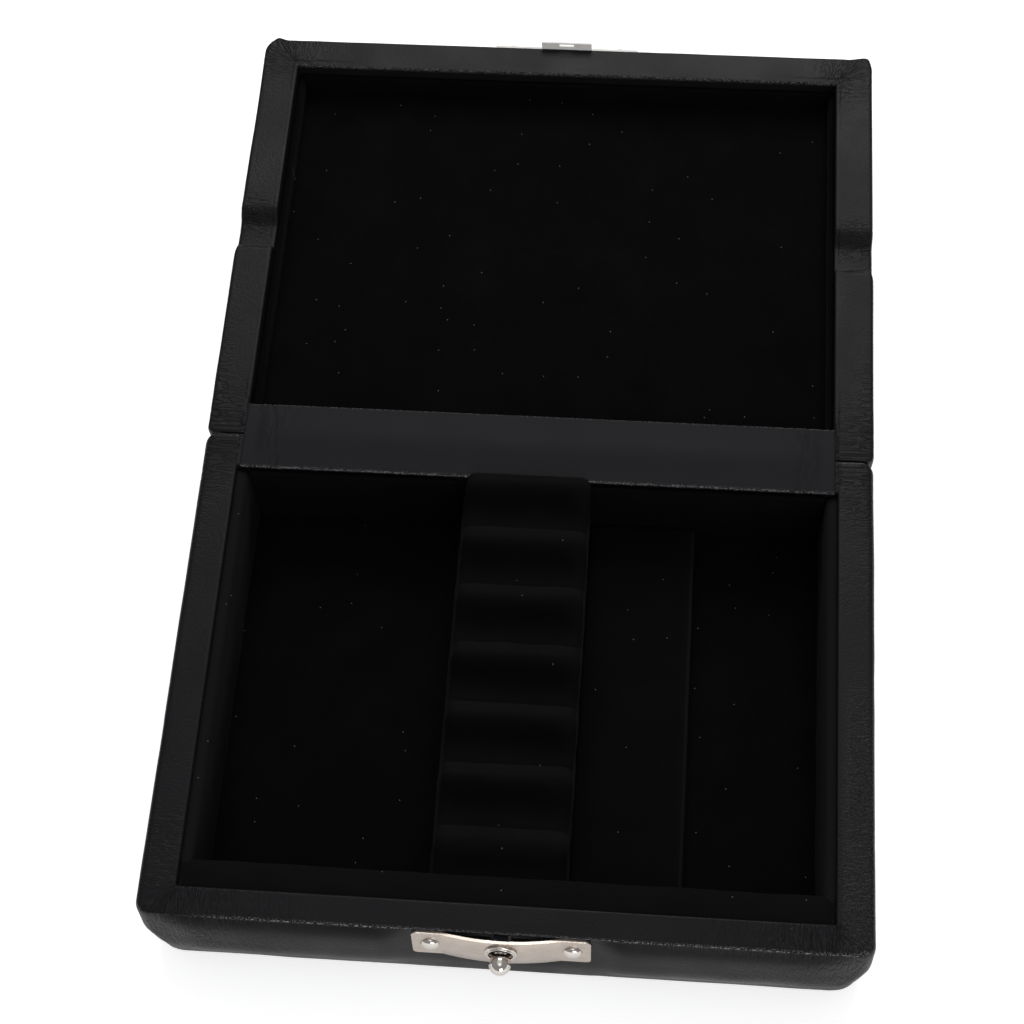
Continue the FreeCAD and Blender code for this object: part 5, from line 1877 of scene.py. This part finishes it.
def lathe(name: str, profile: Sequence[Pair], place: Matrix, material: Material,
          steps: int = 72) -> Object:
    """Turn a profile about its axis.

    Args:
        name: Name of the piece.
        profile: Radius and height of each point; the ends lie on the axis, or the profile closes.
        place: Where the turned piece goes, in millimetres.
        material: Finish of the piece.
        steps: Sides of the turning.

    Returns:
        The piece.
    """
    closed = profile[0][0] > TINY
    round_turn = [2 * math.pi * k / steps for k in range(steps)]
    points: list[Vector] = []
    rows: list[list[int]] = []
    for radius, height in profile:
        if radius < TINY:
            rows.append([len(points)] * steps)
            points.append(Vector((0, 0, height)))
            continue
        rows.append(list(range(len(points), len(points) + steps)))
        points += [Vector((radius * math.cos(a), radius * math.sin(a), height)) for a in round_turn]
    faces = []
    for low, high in list(zip(rows, rows[1:])) + ([(rows[-1], rows[0])] if closed else []):
        for k in range(steps):
            m = (k + 1) % steps
            faces.append(list(dict.fromkeys([low[k], low[m], high[m], high[k]])))
    return make_object(name, np.array([tuple(place @ p) for p in points]), faces, material)


def arc(out: float, height: float, radius: float, start: float, end: float, steps: int) -> list[Pair]:
    """Points of an arc in a turning profile.

    Args:
        out: How far its centre is from the axis.
        height: Height of its centre.
        radius: Its own radius.
        start: Angle of its first point in degrees.
        end: Angle of its last point.
        steps: How many chords it has.

    Returns:
        Radius and height of each point, none past the axis.
    """
    turn = [math.radians(start + (end - start) * i / steps) for i in range(steps + 1)]
    return [(max(0.0, out + radius * math.cos(a)), height + radius * math.sin(a)) for a in turn]


@dataclass
class Catch:
    """Plates, rivets and push-button of the catch."""

    finishes: Finishes

    # The plate on the leaning front wall, and the strike plate on the lid
    plate_y: float = -62.8035
    plate_z: float = 23.6
    plate_face_y: float = -64.8478
    plate_thickness: float = 0.7
    lean: float = math.atan2(2.4, 17.0)
    lid_lean: float = math.atan2(2.0, 9.0)
    lid_rim_y: float = 191.2
    strike_middle: float = 3.3
    rivet_spread: float = 16.5
    strike_rivet_spread: float = 15.0

    # The button: ball, waist, bead, sleeve, stem and riveted tail
    button_z: float = 24.5
    ball_radius: float = 2.6
    ball_y: float = -67.5478
    neck_radius: float = 1.5
    neck_sink: float = 0.6
    waist: float = 0.14
    waist_ends: Pair = (0.12, 0.2)
    bead: float = 0.13
    bead_at: float = 0.36
    sleeve: float = 0.1
    sleeve_at: float = 0.52
    stem_radius: float = 1.1
    stem_gap: float = 0.1
    tail_radius: float = 0.7
    tail_end: float = -60.7
    tail_head: Pair = (1.3, 1.1)
    tail_head_ends: Pair = (0.6, 0.15)

    # The latch spring and its nose
    spring_front: float = -61.8
    spring_half: float = 3.5
    spring_foot: float = 20.5
    spring_bend: Pair = (22.2, 23.2)
    spring_top: float = 28.9
    spring_thick: float = 0.4
    nose_half: float = 1.75
    nose_front: float = -63.05
    nose_root: float = 0.1
    nose_drop: float = 0.05

    # The collar's profile: its foot, a rounded step, its waist, a rounded top and its inner lip
    collar_foot: tuple[Pair, ...] = ((2.91, 0.0), (3.73, 0.0), (3.75, 0.08))
    collar_step: Triple = (3.47, 0.26, 0.28)
    collar_waist: tuple[Pair, ...] = ((3.29, 0.46), (3.27, 0.60))
    collar_top: Triple = (3.07, 0.68, 0.2)
    collar_lip: tuple[Pair, ...] = ((2.97, 0.86), (2.91, 0.8))

    def round_plate(self, node: str) -> None:
        """Break the sharp edges of a stamped plate with modifiers, leaving its mesh as it is.

        Args:
            node: CAD node of the plate.
        """
        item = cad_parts[node]
        weld = item.modifiers.new("weld", "WELD")
        weld.merge_threshold = TINY
        edge = item.modifiers.new("broken_edges", "BEVEL")
        edge.width = 0.14 * MM
        edge.segments = 2
        edge.limit_method = "ANGLE"
        edge.angle_limit = math.radians(40)
        edge.harden_normals = False

    def build_button(self) -> None:
        """Turn the push-button: ball, ringed neck, stem and riveted tail."""
        ball, neck, stem, tail = self.ball_radius, self.neck_radius, self.stem_radius, self.tail_radius
        start = math.sqrt(ball ** 2 - neck ** 2)
        end = self.plate_face_y + self.neck_sink - self.ball_y
        stop = self.spring_front - self.stem_gap - self.ball_y
        last = self.tail_end - self.ball_y
        wide, narrow = self.tail_head
        head, chamfer = (last - back for back in self.tail_head_ends)
        profile = [(0.0, -ball)]
        profile += arc(0.0, 0.0, ball, -90, math.degrees(math.acos(neck / ball)), steps=40)[1:]
        profile += [(neck - self.waist, start + along) for along in self.waist_ends]
        profile += arc(neck - self.bead, start + self.bead_at, self.bead, start=-80, end=80, steps=6)
        profile += [(neck - self.sleeve, start + self.sleeve_at), (neck - self.sleeve, end), (stem, end)]
        profile += [(stem, stop), (tail, stop), (tail, head)]
        profile += [(wide, head), (wide, chamfer), (narrow, last), (0.0, last)]
        place = Matrix.Translation((0, self.ball_y, self.button_z)) @ Matrix.Rotation(-math.pi / 2, 4, "X")
        item = lathe("push_button_turned", profile, place, self.finishes.bright)
        settle(item, Body.BUTTON, Slot.BRIGHT, "push_button")

    def build_spring(self) -> None:
        """Make the latch spring: a flat leaf from its screwed foot up, with its nose at the top."""
        low, high = self.spring_bend
        front, top = self.spring_front, self.spring_top
        leaf = [self.spring_foot, *np.linspace(low, high, num=7), top]
        nose = [top - self.spring_thick, top - self.nose_drop]
        points: list[Triple] = []
        faces: list[list[int]] = []
        for half, near_y, far_y, levels in (
                (self.spring_half, front, front + self.spring_thick, leaf),
                (self.nose_half, self.nose_front, front + self.nose_root, nose)):
            first = len(points)
            for z in levels:
                points += [(-half, near_y, z), (half, near_y, z), (half, far_y, z), (-half, far_y, z)]
            for a in range(first, len(points) - 4, 4):
                faces += [[a + j, a + (j + 1) % 4, a + 4 + (j + 1) % 4, a + 4 + j] for j in range(4)]
            faces += [[first + 3, first + 2, first + 1, first], list(range(len(points) - 4, len(points)))]
        item = make_object("latch_spring_bent", np.array(points), faces, self.finishes.blued, smooth=False)
        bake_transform(item)
        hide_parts("latch_spring")
        log.info("latch_spring_bent: %d faces between the base and the button", len(faces))

    def build_collar(self) -> None:
        """Turn the stepped collar round the button."""
        profile = [*self.collar_foot, *arc(*self.collar_step, start=0, end=90, steps=6), *self.collar_waist]
        profile += [*arc(*self.collar_top, start=0, end=90, steps=5), *self.collar_lip]
        place = Matrix.Translation((0, self.plate_face_y, self.button_z))
        place = place @ Matrix.Rotation(math.pi / 2 - self.lean, 4, "X")
        item = lathe("collar_turned", profile, place, self.finishes.bright)
        settle(item, Body.BASE, Slot.BRIGHT, "catch_collar")

    def build_rivets(self) -> None:
        """Set the rivets of both plates."""
        out, lean = self.plate_thickness, self.lean
        seat = (0.0, self.plate_y - out * math.cos(lean), self.plate_z + out * math.sin(lean))
        row = RivetRow("catch_rivet_heads", self.rivet_spread, seat, math.pi / 2 - lean)
        settle(row.build(self.finishes.bright), Body.BASE, Slot.BRIGHT, "catch_rivets")
        down, lean = self.strike_middle, self.lid_lean
        seat = (0.0, self.lid_rim_y + down * math.sin(lean) + out * math.cos(lean),
                RIM - down * math.cos(lean) + out * math.sin(lean))
        row = RivetRow("strike_rivet_heads", self.strike_rivet_spread, seat, lean - math.pi / 2)
        settle(row.build(self.finishes.bright), Body.LID, Slot.BRIGHT, "strike_rivets")

    def build(self) -> None:
        """Dress the whole catch."""
        for node in ("catch_plate", "strike_plate"):
            self.round_plate(node)
        self.build_button()
        self.build_spring()
        self.build_collar()
        self.build_rivets()


def dress_solids(finishes: Finishes) -> None:
    """Give each CAD node that shows or stays hidden as it is the material of its real part.

    Args:
        finishes: The materials.
    """
    by_word = (("board", finishes.board), ("catch_plate", finishes.satin), ("strike_plate", finishes.painted_glare_nickel),
               ("hinge", finishes.steel), ("latch", finishes.blued))
    for name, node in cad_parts.items():
        for word, material in by_word:
            if word in name:
                node.data.materials.clear()
                node.data.materials.append(material)


# Stage


@dataclass(frozen=True)
class SoftBox:
    """A square lamp: where it hangs and aims in metres, its size and its power in watts."""

    name: str
    spot: Triple
    aim: Triple
    size: float
    power: float

    def hang(self) -> None:
        """Put the lamp in the scene."""
        lamp = bpy.data.lights.new(self.name, "AREA")
        lamp.shape = "SQUARE"
        lamp.size = self.size
        lamp.energy = self.power
        item = bpy.data.objects.new(self.name, lamp)
        item.location = self.spot
        item.rotation_euler = (Vector(self.aim) - Vector(self.spot)).to_track_quat("-Z", "Y").to_euler()
        bpy.context.scene.collection.objects.link(item)


@dataclass
class Studio:
    """White floor, soft light and the photograph's viewpoint."""

    # The viewpoint, in millimetres and degrees
    lens: float = 74.15
    eye: Triple = (28.49, -187.42, 504.81)
    azimuth: float = 8.195
    elevation: float = 63.63
    roll: float = -4.583

    # The floor, in metres, and how much more it glows for the camera
    floor_half: float = 30.0
    floor_z: float = -0.0003
    camera_glow: float = 0.22

    boxes: tuple[SoftBox, ...] = (
        SoftBox("key_box", (0.02, 0.95, 1.0), (0, 0.06, 0.02), 0.7, 9.0),
        SoftBox("front_box", (0.3, -1.05, 0.28), (0, 0.05, 0.02), 0.45, 3.4),
        SoftBox("lens_box", (0.08, -0.5, 1.25), (0, 0.0, 0.02), 0.6, 1.0),
        SoftBox("top_box", (0.0, 0.0, 1.4), (0, 0.06, 0.02), 1.2, 1.8))

    def build_camera(self) -> None:
        """Place the camera where the straight edges of the photograph put it."""
        a, e, r = (math.radians(v) for v in (self.azimuth, self.elevation, self.roll))
        back = Vector((math.sin(a) * math.cos(e), -math.cos(a) * math.cos(e), math.sin(e)))
        flat = (-back).cross(Vector((0, 0, 1))).normalized()
        rise = flat.cross(-back)
        right = flat * math.cos(r) + rise * math.sin(r)
        up = rise * math.cos(r) - flat * math.sin(r)
        lens = bpy.data.cameras.new("viewpoint")
        lens.lens = self.lens
        lens.sensor_width = 36.0
        lens.clip_start = 0.01
        camera = bpy.data.objects.new("viewpoint", lens)
        turned = Matrix((right, up, back)).transposed().to_4x4()
        camera.matrix_world = Matrix.Translation(Vector(self.eye) * MM) @ turned
        bpy.context.scene.collection.objects.link(camera)
        bpy.context.scene.camera = camera

    def build_floor(self) -> None:
        """Lay the white floor, which keeps the shadow of the case and stays white far from the lamps."""
        # Studio paper: to the eye an even white, with the case's soft shadow on it
        made, tree, _ = start_material("studio_paper")
        tree.nodes.clear()
        add = partial(add_node, tree)
        path = add("LightPath")
        seen = add("Math", {0: (path, "Is Camera Ray"), 1: (path, "Is Glossy Ray")}, operation="MAXIMUM")
        shown = add("Math", {0: (seen, 0), 1: (path, "Is Transmission Ray")}, operation="MAXIMUM")
        paper = add("BsdfDiffuse", {"Color": srgb("#f4f4f4")})
        spot = add("NewGeometry")
        away = add("VectorMath", {0: (spot, "Position")}, operation="LENGTH")
        level = add("MapRange", {
            "Value": (away, 1), "From Min": 0.7, "From Max": 1.8, "To Min": 0.38, "To Max": 1.0})
        lifted = add("Math", {
            0: (path, "Is Camera Ray"), 1: self.camera_glow, 2: (level, 0)}, operation="MULTIPLY_ADD")
        glow = add("Emission", {"Color": (1, 1, 1, 1), "Strength": (lifted, 0)})
        lit = add("AddShader", {0: (paper, 0), 1: (glow, 0)})
        both = add("MixShader", {0: (shown, 0), 1: (paper, 0), 2: (lit, 0)})
        add("OutputMaterial", {"Surface": (both, 0)})
        corners = ((-1, -1), (1, -1), (1, 1), (-1, 1))
        points = np.array([(x * self.floor_half, y * self.floor_half, self.floor_z) for x, y in corners]) / MM
        make_object("studio_floor", points, [[0, 1, 2, 3]], made, smooth=False)

    def build_light(self) -> None:
        """Hang the soft boxes and set the even light of the room."""
        world = bpy.data.worlds.new("studio")
        bpy.context.scene.world = world
        world.use_nodes = True
        plug(world.node_tree, world.node_tree.nodes["Background"], {
            "Color": srgb("#f2f3f6"), "Strength": 0.36})
        for box in self.boxes:
            box.hang()

    def build(self) -> None:
        """Set up the camera, floor and light."""
        bpy.context.scene.view_settings.view_transform = "Standard"
        self.build_camera()
        self.build_floor()
        self.build_light()


def main() -> None:
    """Build every piece of the case, then its stage."""
    logging.basicConfig(level=logging.INFO, format="%(name)s: %(message)s")
    finishes = Finishes()
    dress_solids(finishes)
    cover = BaseCover(finishes)
    cover.build_walls()
    cover.build_panel()
    LidCover(finishes).build()
    lining = Lining(finishes)
    lining.build_pads()
    lining.build_cradle()
    lining.build_lid()
    HingeStrip(finishes).build()
    EdgeFibres().build(finishes.leather)
    Catch(finishes).build()
    Studio().build()


if __name__ == "__main__":
    main()
